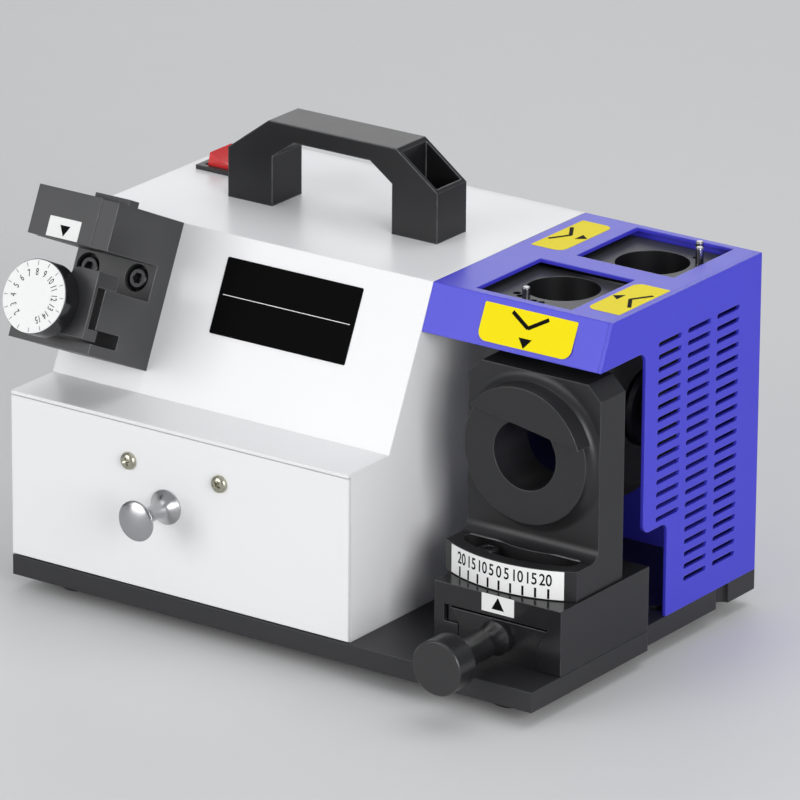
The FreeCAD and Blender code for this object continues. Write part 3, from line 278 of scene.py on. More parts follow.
@dataclass(frozen=True)
class Grit(Finish):
    """Bonded abrasive: grains of several shades with pores between them."""

    def pattern(self, graph: Graph) -> Socket:
        """Gives grains as raised cells."""
        return 1.0 - self.cells(graph, "Distance")

    def cells(self, graph: Graph, output: str) -> Socket:
        """Gives one output of the grains' cells."""
        return graph.make("ShaderNodeTexVoronoi", {}, {"Vector": graph.place(), "Scale": self.grain}, output)

    def tint(self, graph: Graph, pattern: Socket) -> Socket:
        """Gives each grain a shade of its own."""
        spread = graph.make("ShaderNodeSeparateColor", {}, {"Color": self.cells(graph, "Color")}, 0)
        dark = tuple(channel * 0.55 for channel in self.colour)
        return graph.mix(spread * pattern, dark, self.colour)


@dataclass(frozen=True)
class Laminated(Finish):
    """Stacked sheets, with thin lines across one axis."""

    def pattern(self, graph: Graph) -> Socket:
        """Gives the sheets' edges as bands along X."""
        return graph.make("ShaderNodeTexWave", {"bands_direction": "X"},
                          {"Vector": graph.place(), "Scale": self.grain, "Distortion": 0.4}, "Fac")


@dataclass(frozen=True)
class TopLit(Finish):
    """A dark coat with painted light on the faces that point up, which take a lighter colour of their own,
    and painted shade on the walls and in the bores.
    """

    # The lighter colour painted on the faces that point up, as painted light.
    lit_top: Colour = (0.1, 0.1, 0.1)

    def tint(self, graph: Graph, pattern: Socket) -> Socket:
        """Gives the dark coat as painted shade on walls and bores, and the lighter colour as painted light on
        top.
        """
        normal = graph.make("ShaderNodeNewGeometry", {}, {}, "Normal")
        up = graph.make("ShaderNodeSeparateXYZ", {}, {"Vector": normal}, "Z")
        cloud = graph.noise(graph.place(), 40.0)
        bright = tuple(channel * (1.0 + self.mottle) for channel in self.lit_top)
        return graph.mix(up.above(0.6), self.colour, graph.mix(cloud, self.lit_top, bright))


@dataclass(frozen=True)
class ShadedBack(Finish):
    """A coat with painted shade on the wall behind the wheel, darker towards the back of that wall; the
    places are in metres.
    """

    # The colour of the painted shade, and where along y it starts and where it is full.
    painted_shade: Colour = (0.02, 0.02, 0.02)
    wall_x: float = 0.0487
    unshaded_y: float = 0.03
    shaded_y: float = 0.055

    def tint(self, graph: Graph, pattern: Socket) -> Socket:
        """Gives the coat with painted shade, darker towards the back of that wall."""
        here = graph.make("ShaderNodeTexCoord", {}, {}, "Object")
        across, back = (graph.make("ShaderNodeSeparateXYZ", {}, {"Vector": here}, axis) for axis in "XY")
        depth = graph.clamp((back - self.unshaded_y) * (1.0 / (self.shaded_y - self.unshaded_y)))
        return graph.mix(depth * across.above(self.wall_x), super().tint(graph, pattern), self.painted_shade)


WHITE_COAT = Finish("white_coat", (0.84, 0.84, 0.845), 0.36, coat=0.1, mottle=0.012, grain=1500.0,
                    depth=0.000012, edge=0.0009, wear=0.12, worn=(0.7, 0.7, 0.7))
# The case's coat, with painted shade on its wall behind the wheel.
CASE_COAT = ShadedBack("case_coat", (0.84, 0.84, 0.845), 0.36, coat=0.1, mottle=0.012, grain=1500.0,
                   depth=0.000012, edge=0.0009, wear=0.12, worn=(0.7, 0.7, 0.7))
BLUE_COAT = Finish("blue_coat", (0.05, 0.045, 0.62), 0.36, coat=0.1, gloss=0.4, mottle=0.04, grain=1500.0,
                   depth=0.000012, edge=0.0009, wear=0.5, worn=(0.3, 0.32, 0.9))
DECK_COAT = Finish("deck_coat", (0.018, 0.018, 0.02), 0.4, mottle=0.2, grain=1800.0, edge=0.0008, wear=0.5,
                   worn=(0.12, 0.12, 0.13))
BLACK_OXIDE = Finish("black_oxide", (0.023, 0.023, 0.0245), 0.36, metallic=0.25, gloss=0.4, mottle=0.14,
                     grain=1400.0, depth=0.000008, edge=0.0008, wear=0.8, worn=(0.2, 0.2, 0.21))
GAUGE_OXIDE = Finish("gauge_oxide", (0.05, 0.05, 0.052), 0.38, metallic=0.25, mottle=0.12, grain=1400.0,
                     depth=0.000008, edge=0.0007, wear=1.3, worn=(0.28, 0.28, 0.29))
SADDLE_OXIDE = Finish("saddle_oxide", (0.02, 0.02, 0.0215), 0.2, metallic=0.2, gloss=0.4, mottle=0.14,
                      grain=1400.0, depth=0.000004, edge=0.0007, wear=0.8, worn=(0.2, 0.2, 0.21))
SCREW_OXIDE = Finish("screw_oxide", (0.035, 0.035, 0.038), 0.3, metallic=0.6, mottle=0.2, edge=0.0004,
                     wear=1.2, worn=(0.3, 0.3, 0.31))
HANDLE_PLASTIC = Finish("handle_plastic", (0.011, 0.011, 0.012), 0.34, gloss=0.38, mottle=0.12, grain=3200.0,
                        depth=0.00002, edge=0.0012, wear=1.6, worn=(0.2, 0.2, 0.21))
SWITCH_PLASTIC = Finish("switch_plastic", (0.02, 0.02, 0.02), 0.4, mottle=0.1, grain=2800.0, depth=0.00002)
ROCKER_PLASTIC = Finish("rocker_plastic", (0.88, 0.02, 0.022), 0.22, coat=0.3, mottle=0.06, grain=900.0)
GREY_PLASTIC = Finish("grey_plastic", (0.05, 0.05, 0.055), 0.5, mottle=0.1, depth=0.00002)
FOOT_RUBBER = Finish("foot_rubber", (0.015, 0.015, 0.015), 0.75, mottle=0.2, grain=2200.0, depth=0.00004)
KNOB_PLASTIC = Finish("knob_plastic", (0.012, 0.012, 0.013), 0.3, coat=0.1, gloss=0.6, mottle=0.12,
                      grain=2600.0, depth=0.000004, edge=0.0008, wear=0.6, worn=(0.16, 0.16, 0.17))
DIAL_ALLOY = Finish("dial_alloy", (0.03, 0.03, 0.033), 0.16, metallic=0.6, mottle=0.15, depth=0.000003,
                    edge=0.0006, wear=1.0, worn=(0.3, 0.3, 0.32))
# The port plates: lighter tops are painted light, and dark walls and bores are painted shade.
PORT_ALLOY = TopLit("port_alloy", (0.012, 0.012, 0.013), 0.42, metallic=0.3, mottle=0.12, grain=2200.0,
                   edge=0.0006, wear=0.8, worn=(0.4, 0.4, 0.41), lit_top=(0.05, 0.051, 0.053))
CAST_ALLOY = Finish("cast_alloy", (0.4, 0.41, 0.42), 0.5, metallic=0.8, mottle=0.12, grain=1100.0,
                    depth=0.00005)
MOTOR_PAINT = Finish("motor_paint", (0.16, 0.165, 0.175), 0.45, mottle=0.1, wear=0.5, worn=(0.4, 0.4, 0.4))
DARK_PAINT = Finish("dark_paint", (0.02, 0.02, 0.022), 0.5, mottle=0.1, wear=0.4, worn=(0.12, 0.12, 0.12))
SATIN_METAL = Brushed("satin_metal", (0.46, 0.46, 0.47), 0.24, mottle=0.05, grain=1500.0, depth=0.000004,
                      along=1)
GROUND_STEEL = Brushed("ground_steel", (0.45, 0.45, 0.47), 0.26, mottle=0.08, grain=1600.0, depth=0.000004,
                       along=0)
DARK_STEEL = Brushed("dark_steel", (0.025, 0.025, 0.027), 0.5, mottle=0.1, grain=1600.0, depth=0.000004,
                     along=0)
ZINC_SHEET = Brushed("zinc_sheet", (0.5, 0.51, 0.53), 0.36, mottle=0.12, grain=700.0, depth=0.000004, along=0)
ZINC_PLATE = Brushed("zinc_plate", (0.46, 0.45, 0.36), 0.28, mottle=0.12, grain=1200.0, depth=0.000004,
                     along=2)
BRASS = Brushed("brass", (0.6, 0.45, 0.18), 0.3, mottle=0.1, grain=1200.0, along=1)
CAN_ALLOY = Brushed("can_alloy", (0.68, 0.68, 0.7), 0.3, mottle=0.05, grain=1300.0, along=0)
WHEEL_GRIT = Grit("wheel_grit", (0.035, 0.034, 0.032), 0.8, grain=1500.0, depth=0.0002)
CORE_SHEETS = Laminated("core_sheets", (0.13, 0.125, 0.12), 0.5, metallic=0.6, grain=320.0, depth=0.0001)
DIAL_WHITE = Finish("dial_white", (0.84, 0.84, 0.83), 0.4, mottle=0.02, grain=3000.0, edge=0.0002)
LABEL_WHITE = Finish("label_white", (0.84, 0.84, 0.83), 0.4, gloss=0.3, mottle=0.02, grain=3000.0,
                     edge=0.00008)
LABEL_YELLOW = Finish("label_yellow", (0.88, 0.73, 0.004), 0.4, gloss=0.06, mottle=0.02, grain=3000.0,
                      edge=0.00008)
PLATE_BLACK = Finish("plate_black", (0.002, 0.002, 0.0022), 0.4, gloss=0.02, mottle=0.2, grain=1800.0,
                     depth=0.000003, edge=0.0003)
INK = Finish("ink", (0.004, 0.004, 0.0045), 0.6, gloss=0.05, mottle=0.2, grain=3000.0, edge=0.00003)
GREY_INK = Finish("grey_ink", (0.16, 0.16, 0.165), 0.5, gloss=0.2, mottle=0.1, grain=3000.0, edge=0.00003)
FLOOR_PAINT = Finish("floor_paint", (0.68, 0.68, 0.68), 0.6, gloss=0.2, mottle=0.01, grain=300.0)

NODE_FINISHES: dict[str, Finish] = {
    "base_plate": DECK_COAT, "rubber_feet": FOOT_RUBBER, "main_housing": CASE_COAT, "rear_panel": WHITE_COAT,
    "rear_panel_screws": ZINC_PLATE, "drawer_front": WHITE_COAT, "drawer_tray": ZINC_SHEET,
    "drawer_knob": SATIN_METAL, "drawer_screws": ZINC_PLATE, "drawer_runners": GREY_PLASTIC,
    "carry_handle": HANDLE_PLASTIC, "handle_screws": SCREW_OXIDE, "switch_bezel": SWITCH_PLASTIC,
    "switch_rocker": ROCKER_PLASTIC, "power_inlet": SWITCH_PLASTIC, "inlet_blades": BRASS,
    "motor_can": MOTOR_PAINT, "drive_end_bell": CAST_ALLOY, "rear_end_bell": CAST_ALLOY,
    "stator": CORE_SHEETS, "spindle_bearings": GROUND_STEEL, "rotor_shaft": DARK_STEEL,
    "cooling_fan": GREY_PLASTIC, "run_capacitor": CAN_ALLOY, "capacitor_strap": ZINC_SHEET,
    "wheel_hub": DARK_STEEL, "grinding_wheel": WHEEL_GRIT, "wheel_washer": DARK_STEEL,
    "wheel_nut": SCREW_OXIDE, "wheel_cover": BLUE_COAT, "vent_panel": BLUE_COAT,
    "relief_port_plate": PORT_ALLOY, "thinning_port_plate": PORT_ALLOY, "relief_peg": GROUND_STEEL,
    "thinning_pegs": GROUND_STEEL, "port_bracket": DARK_PAINT, "feed_way": SADDLE_OXIDE,
    "feed_saddle": SADDLE_OXIDE, "gib_strip": BLACK_OXIDE, "feed_nut": BRASS, "pivot_pin": GROUND_STEEL,
    "angle_clamp_screw": SCREW_OXIDE, "feed_screw": SATIN_METAL, "feed_knob": KNOB_PLASTIC,
    "swivel_block": BLACK_OXIDE, "gauge_body": GAUGE_OXIDE, "gauge_index_plate": GAUGE_OXIDE,
    "gauge_slider": GAUGE_OXIDE, "gauge_dial": DIAL_ALLOY, "dial_face": DIAL_WHITE,
    "dial_spindle": GROUND_STEEL, "gauge_screws": SCREW_OXIDE,
}


def dress_nodes() -> None:
    """Gives every CAD node its finish."""
    for name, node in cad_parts.items():
        material = NODE_FINISHES[name].material()
        if not node.data.materials:
            node.data.materials.append(material)
        for slot in node.material_slots:
            slot.material = material
        LOG.info("dressed %s in %s", name, material.name)


class Shape:
    """A mesh in the making, drawn in millimetres."""

    def __init__(self) -> None:
        """Starts empty."""
        self.mesh = bmesh.new()

    def put(self, part: bmesh.types.BMesh, place: Matrix) -> None:
        """Adds a part, drawn in millimetres, at a place in metres."""
        part.transform(place @ Matrix.Scale(MM, 4))
        held = bpy.data.meshes.new("held")
        part.to_mesh(held)
        part.free()
        self.mesh.from_mesh(held)
        bpy.data.meshes.remove(held)

    def plate(self, place: Matrix, wide: float, tall: float, thick: float = PROUD, round_low: float = 0.6,
              round_high: float = 0.6, rim: float = 0.0) -> None:
        """Adds a flat plate about a place.

        Args:
            place: the middle of the plate's back, with Z out of its face.
            wide, tall, thick: its size.
            round_low, round_high: the radius of its lower and upper corners.
            rim: the rounding of its front edge, if any.
        """
        part = bmesh.new()
        bmesh.ops.create_grid(part, x_segments=1, y_segments=1, size=0.5)
        bmesh.ops.scale(part, vec=(wide, tall, 1.0), verts=part.verts)
        for radius, low in ((round_low, True), (round_high, False)):
            corners = [vert for vert in part.verts if (vert.co.y < 0) == low
                       and abs(abs(vert.co.x) - wide / 2) < 1e-6 and abs(abs(vert.co.y) - tall / 2) < 1e-6]
            bmesh.ops.bevel(part, geom=corners, offset=radius, offset_type="OFFSET", affect="VERTICES",
                            segments=7, profile=0.5, material=-1)
        self.raise_faces(part, thick)
        if rim > 0.0:
            top = [edge for edge in part.edges if all(vert.co.z > thick / 2 for vert in edge.verts)]
            bmesh.ops.bevel(part, geom=top, offset=rim, offset_type="OFFSET", affect="EDGES", segments=3,
                            profile=0.5, material=-1)
        self.put(part, place)

    def raise_faces(self, part: bmesh.types.BMesh, thick: float) -> None:
        """Gives a flat part its thickness."""
        made = bmesh.ops.extrude_face_region(part, geom=part.faces[:])["geom"]
        raised = [item for item in made if isinstance(item, bmesh.types.BMVert)]
        bmesh.ops.translate(part, vec=(0, 0, thick), verts=raised)
        bmesh.ops.recalc_face_normals(part, faces=part.faces)

    def pointer(self, place: Matrix, reach: float, spread: float = 1.0, thick: float = PROUD / 2) -> None:
        """Adds a flat triangle that points along its place's Y, widened by spread."""
        part = bmesh.new()
        bmesh.ops.create_circle(part, cap_ends=True, segments=3, radius=reach)
        bmesh.ops.scale(part, vec=(spread, 1.0, 1.0), verts=part.verts)
        self.raise_faces(part, thick)
        self.put(part, place)

    def words(self, place: Matrix, text: str, tall: float, narrow: float = 1.0, bold: float = 0.0,
              thick: float = PROUD / 2) -> None:
        """Adds flat lettering centred on a place.

        Args:
            place: the lettering's middle, with Z out of its face.
            text: what it says.
            tall: the height of a digit.
            narrow: its width, as a share of the plain width.
            bold: how far each stroke is thickened.
            thick: how far it stands proud.
        """
        curve = bpy.data.curves.new("lettering", "FONT")
        curve.body = text
        curve.size = tall * 1.45
        curve.offset = bold
        curve.align_x = "CENTER"
        curve.align_y = "CENTER"
        curve.extrude = thick / 2
        holder = bpy.data.objects.new("lettering", curve)
        bpy.context.scene.collection.objects.link(holder)
        flat = bpy.data.meshes.new_from_object(holder.evaluated_get(bpy.context.evaluated_depsgraph_get()))
        part = bmesh.new()
        part.from_mesh(flat)
        bmesh.ops.translate(part, vec=(0, 0, thick / 2), verts=part.verts)
        bmesh.ops.scale(part, vec=(narrow, 1.0, 1.0), verts=part.verts)
        bpy.data.objects.remove(holder)
        bpy.data.curves.remove(curve)
        bpy.data.meshes.remove(flat)
        self.put(part, place)

    def finish(self, name: str, finish: Finish, body: str, slot: str,
               smooth: bool = False) -> bpy.types.Object:
        """Makes the piece, dresses it and lets it ride on a body.

        Args:
            name: the piece's name.
            finish: its finish.
            body: the CAD body that it moves with.
            slot: the name of the material slot that is nearest to its finish; not used.
            smooth: whether its faces shade smoothly.

        Returns:
            The piece.
        """
        bmesh.ops.remove_doubles(self.mesh, verts=self.mesh.verts, dist=1e-7)
        mesh = bpy.data.meshes.new(name)
        self.mesh.to_mesh(mesh)
        self.mesh.free()
        mesh.materials.append(finish.material())
        if smooth:
            mesh.set_sharp_from_angle(angle=math.radians(30.0))
        else:
            mesh.shade_flat()
        piece = bpy.data.objects.new(name, mesh)
        bpy.context.scene.collection.objects.link(piece)
        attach(piece, body)
        LOG.info("made %s on %s, %d faces", name, body, len(mesh.polygons))
        return piece


def lathe(rise: list[tuple[float, float]], steps: int) -> bmesh.types.BMesh:
    """Turns a closed piece about Z.

    Args:
        rise: its outline as radius and height, from one point on the axis to another.
        steps: how many faces go round it.

    Returns:
        The piece.
    """
    part = bmesh.new()
    line = [part.verts.new((radius, 0.0, height)) for radius, height in rise]
    for low, high in zip(line, line[1:]):
        part.edges.new((low, high))
    bmesh.ops.spin(part, geom=part.verts[:] + part.edges[:], cent=(0, 0, 0), axis=(0, 0, 1), dvec=(0, 0, 0),
                   angle=2 * math.pi, steps=steps, use_merge=True, use_duplicate=False)
    bmesh.ops.remove_doubles(part, verts=part.verts, dist=1e-4)
    bmesh.ops.recalc_face_normals(part, faces=part.faces)
    return part


@dataclass
class DrawerKnob:
    """The drawer's turned knob: a flanged foot that flares in to a waist and out again to a domed head."""

    at: tuple[float, float, float] = (96.0, 0.0, 46.5)
    stud_r: float = 2.5
    stud_long: float = 6.0
    foot_r: float = 9.0
    foot_rim: float = 1.3
    waist_r: float = 3.9
    waist_at: float = 12.0
    head_r: float = 10.4
    head_low: float = 23.6
    head_high: float = 25.2
    dome: float = 1.8
    lip: float = 0.5
    bend: float = 2.6
    fineness: int = 14

    def outline(self) -> list[tuple[float, float]]:
        """Gives the knob's outline from the stud's end to the middle of the dome."""
        shares = [number / self.fineness for number in range(self.fineness + 1)]
        foot, head = self.foot_r - self.lip - self.waist_r, self.head_r - self.lip - self.waist_r
        rise = [(0.0, -self.stud_long), (self.stud_r, -self.stud_long), (self.stud_r, 0.0),
                (self.foot_r, 0.0), (self.foot_r, self.foot_rim - self.lip)]
        rise += [(self.waist_r + foot * (1.0 - share) ** self.bend,
                  self.foot_rim + share * (self.waist_at - self.foot_rim)) for share in shares]
        rise += [(self.waist_r + head * share ** self.bend,
                  self.waist_at + share * (self.head_low - self.waist_at)) for share in shares[1:]]
        rise += [(self.head_r, self.head_low + self.lip), (self.head_r, self.head_high - self.lip)]
        reach = self.head_r - self.lip
        rise += [(reach * (1.0 - share), self.head_high + self.dome * (1.0 - (1.0 - share) ** 2))
                 for share in shares]
        return rise

    def build(self) -> None:
        """Builds the knob in place of the CAD model's."""
        knob = Shape()
        knob.put(lathe(self.outline(), 64), facing(Facing.FRONT, *self.at))
        piece = knob.finish("drawer_knob_turned", SATIN_METAL, "drawer", "knob_silver", smooth=True)
        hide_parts("drawer_knob")


@dataclass
class CrossScrews:
    """A set of pan-head screws with a cross recess, in place of the CAD model's plain ones."""

    node: str
    body: str
    slot: str
    way: Facing
    spots: tuple[tuple[float, float, float], ...]
    head_r: float
    head_tall: float
    shank_r: float
    length: float

    def build(self) -> None:
        """Builds every screw, each turned a little differently."""
        heads = Shape()
        for number, spot in enumerate(self.spots):
            heads.put(self.screw(), facing(self.way, *spot) @ turned(20.0 + 35.0 * number))
        piece = heads.finish(f"{self.node}_crossed", ZINC_PLATE, self.body, self.slot, smooth=True)
        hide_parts(self.node)

    def screw(self) -> bmesh.types.BMesh:
        """Turns one screw and sinks a cross into its head.

        Returns:
            The screw, with Z out of its seat.
        """
        rise = [(0.0, -self.length), (self.shank_r, -self.length), (self.shank_r, 0.0), (self.head_r, 0.0),
                (self.head_r, self.head_tall * 0.3), (self.head_r * 0.95, self.head_tall * 0.56),
                (self.head_r * 0.8, self.head_tall * 0.8), (self.head_r * 0.5, self.head_tall * 0.96),
                (0.0, self.head_tall)]
        return self.cut_cross(lathe(rise, 40))

    def cut_cross(self, part: bmesh.types.BMesh) -> bmesh.types.BMesh:
        """Cuts a tapered cross out of a head."""
        reach = self.head_r * 1.3
        cross = bmesh.new()
        for turn in (0.0, math.pi / 2):
            made = bmesh.ops.create_cube(cross, size=1.0)["verts"]
            bmesh.ops.scale(cross, vec=(reach, self.head_r * 0.3, self.head_tall), verts=made)
            bmesh.ops.translate(cross, vec=(0, 0, self.head_tall * 0.85), verts=made)
            low = [vert for vert in made if vert.co.z < self.head_tall * 0.6]
            bmesh.ops.scale(cross, vec=(0.4, 0.7, 1.0), verts=low)
            bmesh.ops.rotate(cross, cent=(0, 0, 0), matrix=Matrix.Rotation(turn, 3, "Z"), verts=made)
        base, cutter = self.hold("head", part), self.hold("cross", cross)
        cut = base.modifiers.new("cross", "BOOLEAN")
        cut.object = cutter
        cut.use_self = True
        done = bpy.data.meshes.new_from_object(base.evaluated_get(bpy.context.evaluated_depsgraph_get()))
        result = bmesh.new()
        result.from_mesh(done)
        for item in (base, cutter):
            bpy.data.objects.remove(item)
        bpy.data.meshes.remove(done)
        return result

    def hold(self, name: str, part: bmesh.types.BMesh) -> bpy.types.Object:
        """Puts a part in an object of its own for a while."""
        item = bpy.data.objects.new(name, bpy.data.meshes.new(name))
        part.to_mesh(item.data)
        part.free()
        bpy.context.scene.collection.objects.link(item)
        return item


@dataclass
class NamePlate:
    """The plain black plate on the slope."""

    left: float = 86.0
    low: float = 37.4
    wide: float = 82.0
    tall: float = 38.8
    thick: float = 0.5
    line_wide: float = 77.0
    line_tall: float = 0.35

    def build(self) -> None:
        """Builds the plate and the thin line across its middle."""
        plate, line = Shape(), Shape()
        middle = on_slope(self.left + self.wide / 2, self.low + self.tall / 2)
        plate.plate(middle, self.wide, self.tall, self.thick, round_low=0.8, round_high=0.8, rim=0.2)
        plate.finish("nameplate", PLATE_BLACK, "frame", "switch_black")
        line.plate(middle @ moved(0, 0.6, self.thick), self.line_wide, self.line_tall, PROUD / 2,
                   round_low=0.1, round_high=0.1)
        line.finish("nameplate_line", LABEL_WHITE, "frame", "dial_white")


@dataclass
class CoverLabels:
    """The three yellow labels on the wheel cover, each with a pointer and a plain sign of a drill's point."""

    top: float = 166.4
    front_left: float = 238.0
    front_low: float = 65.0
    front_wide: float = 54.0
    front_tall: float = 19.0
    pointer: float = 3.3
    pointer_spread: float = 1.35
    arm_long: float = 12.4
    arm_wide: float = 2.0
    arm_lean: float = 31.0
    arm_out: float = 5.2
    arm_up: float = 4.2
    rear_at: tuple[float, float] = (221.2, 168.0)
    rear_size: tuple[float, float] = (46.0, 18.5)
    side_at: tuple[float, float] = (296.7, 104.5)
    side_size: tuple[float, float] = (45.0, 19.3)

    def build(self) -> None:
        """Builds the labels and what is printed on them."""
        sheets, ink = Shape(), Shape()
        front = on_slope(self.front_left + self.front_wide / 2, self.front_low + self.front_tall / 2)
        self.label(sheets, ink, front, self.front_wide, self.front_tall)
        rear = facing(Facing.UP, *self.rear_at, self.top) @ turned(90.0)
        self.label(sheets, ink, rear, *self.rear_size)
        side = facing(Facing.UP, *self.side_at, self.top) @ turned(-90.0)
        self.label(sheets, ink, side, *self.side_size)
        sheets.finish("cover_labels", LABEL_YELLOW, "frame", "dial_white")
        ink.finish("cover_label_print", INK, "frame", "switch_black")

    def label(self, sheets: Shape, ink: Shape, place: Matrix, wide: float, tall: float) -> None:
        """Adds one label, its pointer at its rounded side and a chevron at the angle of a drill's point."""
        sheets.plate(place, wide, tall, round_low=5.0, round_high=0.8)
        face = place @ moved(0, 0, PROUD)
        foot = face @ moved(0, self.pointer + 0.5 - tall / 2) @ turned(180.0)
        ink.pointer(foot, self.pointer, self.pointer_spread)
        for side in (-1, 1):
            arm = face @ moved(side * self.arm_out, self.arm_up) @ turned(self.arm_lean * side)
            ink.plate(arm, self.arm_long, self.arm_wide, thick=PROUD / 2, round_low=0.3, round_high=0.3)


@dataclass
class AngleScale:
    """The angle scale round the point station's shelf, and the mark on the saddle that it is read against."""

    pivot_x: float = 274.1
    pivot_y: float = 105.0
    radius: float = 75.5
    half_sweep: float = 25.8
    low: float = 34.1
    high: float = 48.7
    step: int = 5
    last: int = 20
    number_tall: float = 5.8
    number_at: tuple[float, ...] = (0.0, 3.35, 7.8, 13.3, 18.9)
    number_up: float = 9.4
    tick_up: float = 2.7
    tick_size: tuple[float, float] = (1.15, 5.0)
    mark_at: tuple[float, float, float] = (277.2, 24.5, 28.9)
    mark_size: tuple[float, float] = (18.9, 9.2)
    pointer: float = 4.2

    def build(self) -> None:
        """Builds the strip, its print and the saddle's mark."""
        self.strip().finish("angle_strip", LABEL_WHITE, "station", "dial_white", smooth=True)
        ink = Shape()
        for angle in range(-self.last, self.last + 1, self.step):
            ink.plate(self.spot(angle, self.low + self.tick_up), *self.tick_size, thick=PROUD / 2,
                      round_low=0.05, round_high=0.05)
            across = math.copysign(self.number_at[abs(angle) // self.step], angle)
            ink.words(self.spot(across, self.low + self.number_up), str(abs(angle)), self.number_tall,
                      narrow=0.78, bold=0.1)
        ink.finish("angle_print", INK, "station", "switch_black")
        mark, pointer = Shape(), Shape()
        place = facing(Facing.FRONT, *self.mark_at)
        mark.plate(place, *self.mark_size, round_low=0.3, round_high=0.3)
        mark.finish("saddle_mark", LABEL_WHITE, "saddle", "dial_white")
        pointer.pointer(place @ moved(0, -0.6, PROUD), self.pointer)
        pointer.finish("saddle_pointer", INK, "saddle", "switch_black")

    def spot(self, angle: float, height: float) -> Matrix:
        """Gives the place of a print on the strip, at an angle from the machine's front."""
        around = machine(self.pivot_x, self.pivot_y, height) @ turned(angle)
        return around @ moved(0, -self.radius - PROUD) @ Matrix.Rotation(math.pi / 2, 4, "X")

    def strip(self) -> Shape:
        """Spins the strip about the station's pivot and gives it thickness."""
        part = bmesh.new()
        start = math.radians(-90.0 - self.half_sweep)
        foot = Vector((math.cos(start), math.sin(start), 0.0)) * (self.radius + PROUD)
        ends = [part.verts.new(foot + Vector((0, 0, height))) for height in (0.0, self.high - self.low)]
        part.edges.new(ends)
        bmesh.ops.spin(part, geom=part.verts[:] + part.edges[:], cent=(0, 0, 0), axis=(0, 0, 1),
                       dvec=(0, 0, 0), angle=math.radians(2 * self.half_sweep), steps=48, use_merge=False,
                       use_duplicate=False)
        bmesh.ops.recalc_face_normals(part, faces=part.faces)
        bmesh.ops.solidify(part, geom=part.faces[:], thickness=PROUD * 0.9)
        bmesh.ops.recalc_face_normals(part, faces=part.faces)
        shape = Shape()
        shape.put(part, machine(self.pivot_x, self.pivot_y, self.low))
        return shape


@dataclass
class SettingGauge:
    """What is printed on the setting gauge: the index mark, and the numbers and ticks of its dial."""

    dial_x: float = 30.35
    dial_up: float = 32.8
    dial_out: float = 74.0
    face_r: float = 18.35
    number_r: float = 12.0
    number_tall: float = 3.5
    first: int = 2
    last: int = 15
    first_at: float = 232.0
    gap: float = 22.5
    mark_x: float = 26.35
    mark_up: float = 68.9
    mark_out: float = 58.0
    mark_size: tuple[float, float] = (19.3, 10.15)
    pointer: float = 3.6
    tick_wide: float = 0.3

    def build(self) -> None:
        """Builds the mark and the dial's print."""
        mark, pointer = Shape(), Shape()
        place = on_slope(self.mark_x, self.mark_up, self.mark_out)
        mark.plate(place, *self.mark_size, round_low=0.3, round_high=0.3)
        mark.finish("index_mark", LABEL_WHITE, "frame", "dial_white")
        pointer.pointer(place @ moved(0.7, -0.3, PROUD) @ turned(180.0), self.pointer)
        pointer.finish("index_pointer", INK, "frame", "switch_black")
        ink, ticks = Shape(), Shape()
        for number in range(self.first, self.last + 1):
            angle = self.first_at - (number - self.first) * self.gap
            ink.words(self.spot(angle, self.number_r), str(number), self.number_tall, narrow=0.68)
        for number in range(round(360 / self.gap)):
            place = self.spot(self.first_at + number * self.gap, self.face_r * 0.91)
            ticks.plate(place, self.tick_wide, self.face_r * 0.12, thick=PROUD / 2, round_low=0.05,
                        round_high=0.05)
        ink.finish("dial_print", INK, "dial", "switch_black")
        ticks.finish("dial_ticks", GREY_INK, "dial", "switch_black")

    def spot(self, angle: float, radius: float) -> Matrix:
        """Gives the place of a print on the dial, with its top outwards."""
        centre = on_slope(self.dial_x, self.dial_up, self.dial_out)
        return centre @ turned(angle - 90.0) @ moved(0, radius)


@dataclass(frozen=True)
class Lamp:
    """A square soft lamp that looks at the machine; at and size are in metres."""

    name: str
    at: tuple[float, float, float]
    size: float
    power: float

    def hang(self) -> None:
        """Hangs the lamp."""
        light = bpy.data.lights.new(self.name, "AREA")
        light.size = self.size
        light.energy = self.power
        holder = bpy.data.objects.new(self.name, light)
        holder.location = self.at
        holder.rotation_euler = (Vector((0, 0, 0.1)) - Vector(self.at)).to_track_quat("-Z", "Y").to_euler()
        bpy.context.scene.collection.objects.link(holder)


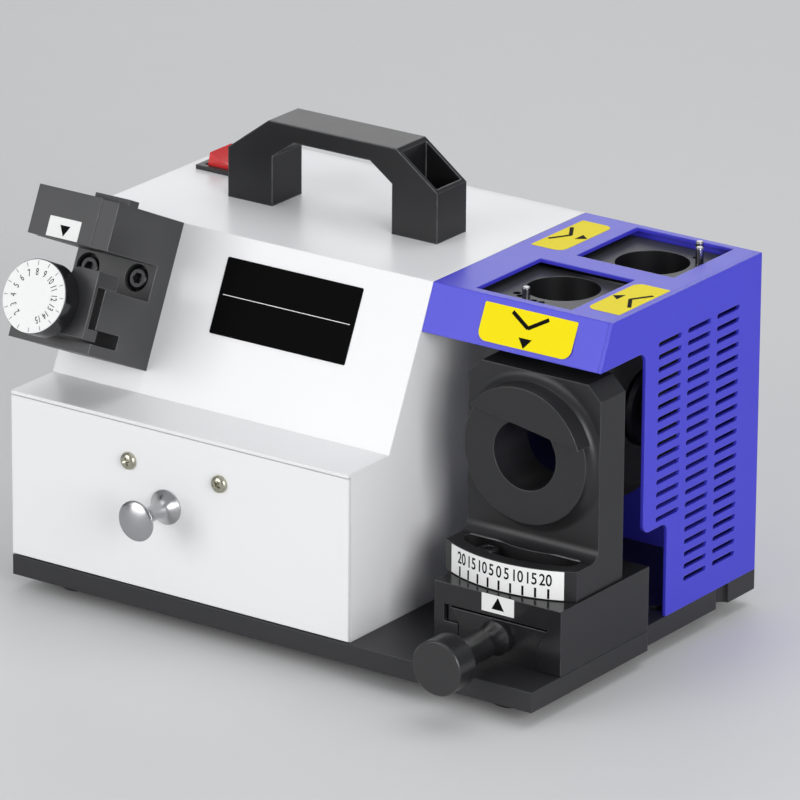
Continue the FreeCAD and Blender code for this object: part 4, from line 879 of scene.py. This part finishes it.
@dataclass
class Studio:
    """The floor, the soft lights and the camera."""

    azimuth: float = 35.1501
    elevation: float = 19.7814
    roll: float = 0.3926
    camera_at: tuple[float, float, float] = (2196.542, -2784.386, 1356.866)
    lens: float = 341.292
    floor_half: float = 6.0
    lamps: tuple[Lamp, ...] = (
        Lamp("front", (-1.1, -2.4, 0.8), 1.5, 26.0), Lamp("side", (2.1, -1.2, 0.85), 1.3, 38.0),
        Lamp("top", (0.2, 0.6, 2.3), 1.8, 13.0), Lamp("rear", (-1.7, 2.4, 1.05), 1.6, 11.0))
    sky_low: Colour = (0.16, 0.165, 0.175)
    sky_high: Colour = (0.5, 0.51, 0.53)

    def build(self) -> None:
        """Builds the whole studio."""
        self.floor()
        for lamp in self.lamps:
            lamp.hang()
        self.sky()
        self.camera()
        bpy.context.scene.view_settings.view_transform = "Standard"

    def floor(self) -> None:
        """Lays a plain pale floor under the feet."""
        part = bmesh.new()
        bmesh.ops.create_grid(part, x_segments=2, y_segments=2, size=self.floor_half)
        mesh = bpy.data.meshes.new("floor")
        part.to_mesh(mesh)
        part.free()
        mesh.materials.append(FLOOR_PAINT.material())
        floor = bpy.data.objects.new("floor", mesh)
        bpy.context.scene.collection.objects.link(floor)

    def sky(self) -> None:
        """Lights the room evenly, paler overhead than at the walls."""
        world = bpy.data.worlds.new("room")
        graph = Graph(world)
        way = graph.make("ShaderNodeTexCoord", {}, {}, "Generated")
        height = graph.make("ShaderNodeSeparateXYZ", {}, {"Vector": way}, "Z")
        shade = graph.make("ShaderNodeValToRGB", {"stops": ((0.1, self.sky_low), (0.9, self.sky_high))},
                           {"Fac": height}, "Color")
        light = graph.node("ShaderNodeBackground", {}, {"Color": shade, "Strength": 1.0})
        graph.node("ShaderNodeOutputWorld", {}, {"Surface": Socket(graph, light.outputs[0])})
        bpy.context.scene.world = world

    def camera(self) -> None:
        """Puts the camera where the photograph was taken from."""
        lens = bpy.data.cameras.new("camera")
        lens.lens = self.lens
        lens.sensor_width = 36.0
        lens.clip_end = 50.0
        camera = bpy.data.objects.new("camera", lens)
        turn = (Matrix.Rotation(math.radians(self.azimuth), 4, "Z")
                @ Matrix.Rotation(math.radians(90.0 - self.elevation), 4, "X")
                @ Matrix.Rotation(math.radians(self.roll), 4, "Z"))
        camera.matrix_world = machine(*self.camera_at) @ turn
        bpy.context.scene.collection.objects.link(camera)
        bpy.context.scene.camera = camera


DRAWER_SCREWS = CrossScrews("drawer_screws", "drawer", "screw_brass", Facing.FRONT,
                            ((73.3, 0.0, 65.8), (128.8, 0.0, 65.8)), head_r=4.5, head_tall=2.7, shank_r=2.0,
                            length=7.0)
REAR_SCREWS = CrossScrews("rear_panel_screws", "frame", "screw_steel", Facing.BACK,
                          tuple((x, 202.0, z) for x in (5.0, 201.0) for z in (20.0, 83.2, 146.4)),
                          head_r=3.8, head_tall=2.4, shank_r=2.0, length=6.0)


def main() -> None:
    """Builds the studio and every sub-assembly in order."""
    logging.basicConfig(level=logging.INFO, format="%(name)s: %(message)s")
    Studio().build()
    dress_nodes()
    assemblies = (NamePlate(), DrawerKnob(), DRAWER_SCREWS, REAR_SCREWS, CoverLabels(), AngleScale(),
                  SettingGauge())
    for assembly in assemblies:
        assembly.build()
        LOG.info("built %s", type(assembly).__name__)


if __name__ == "__main__":
    main()
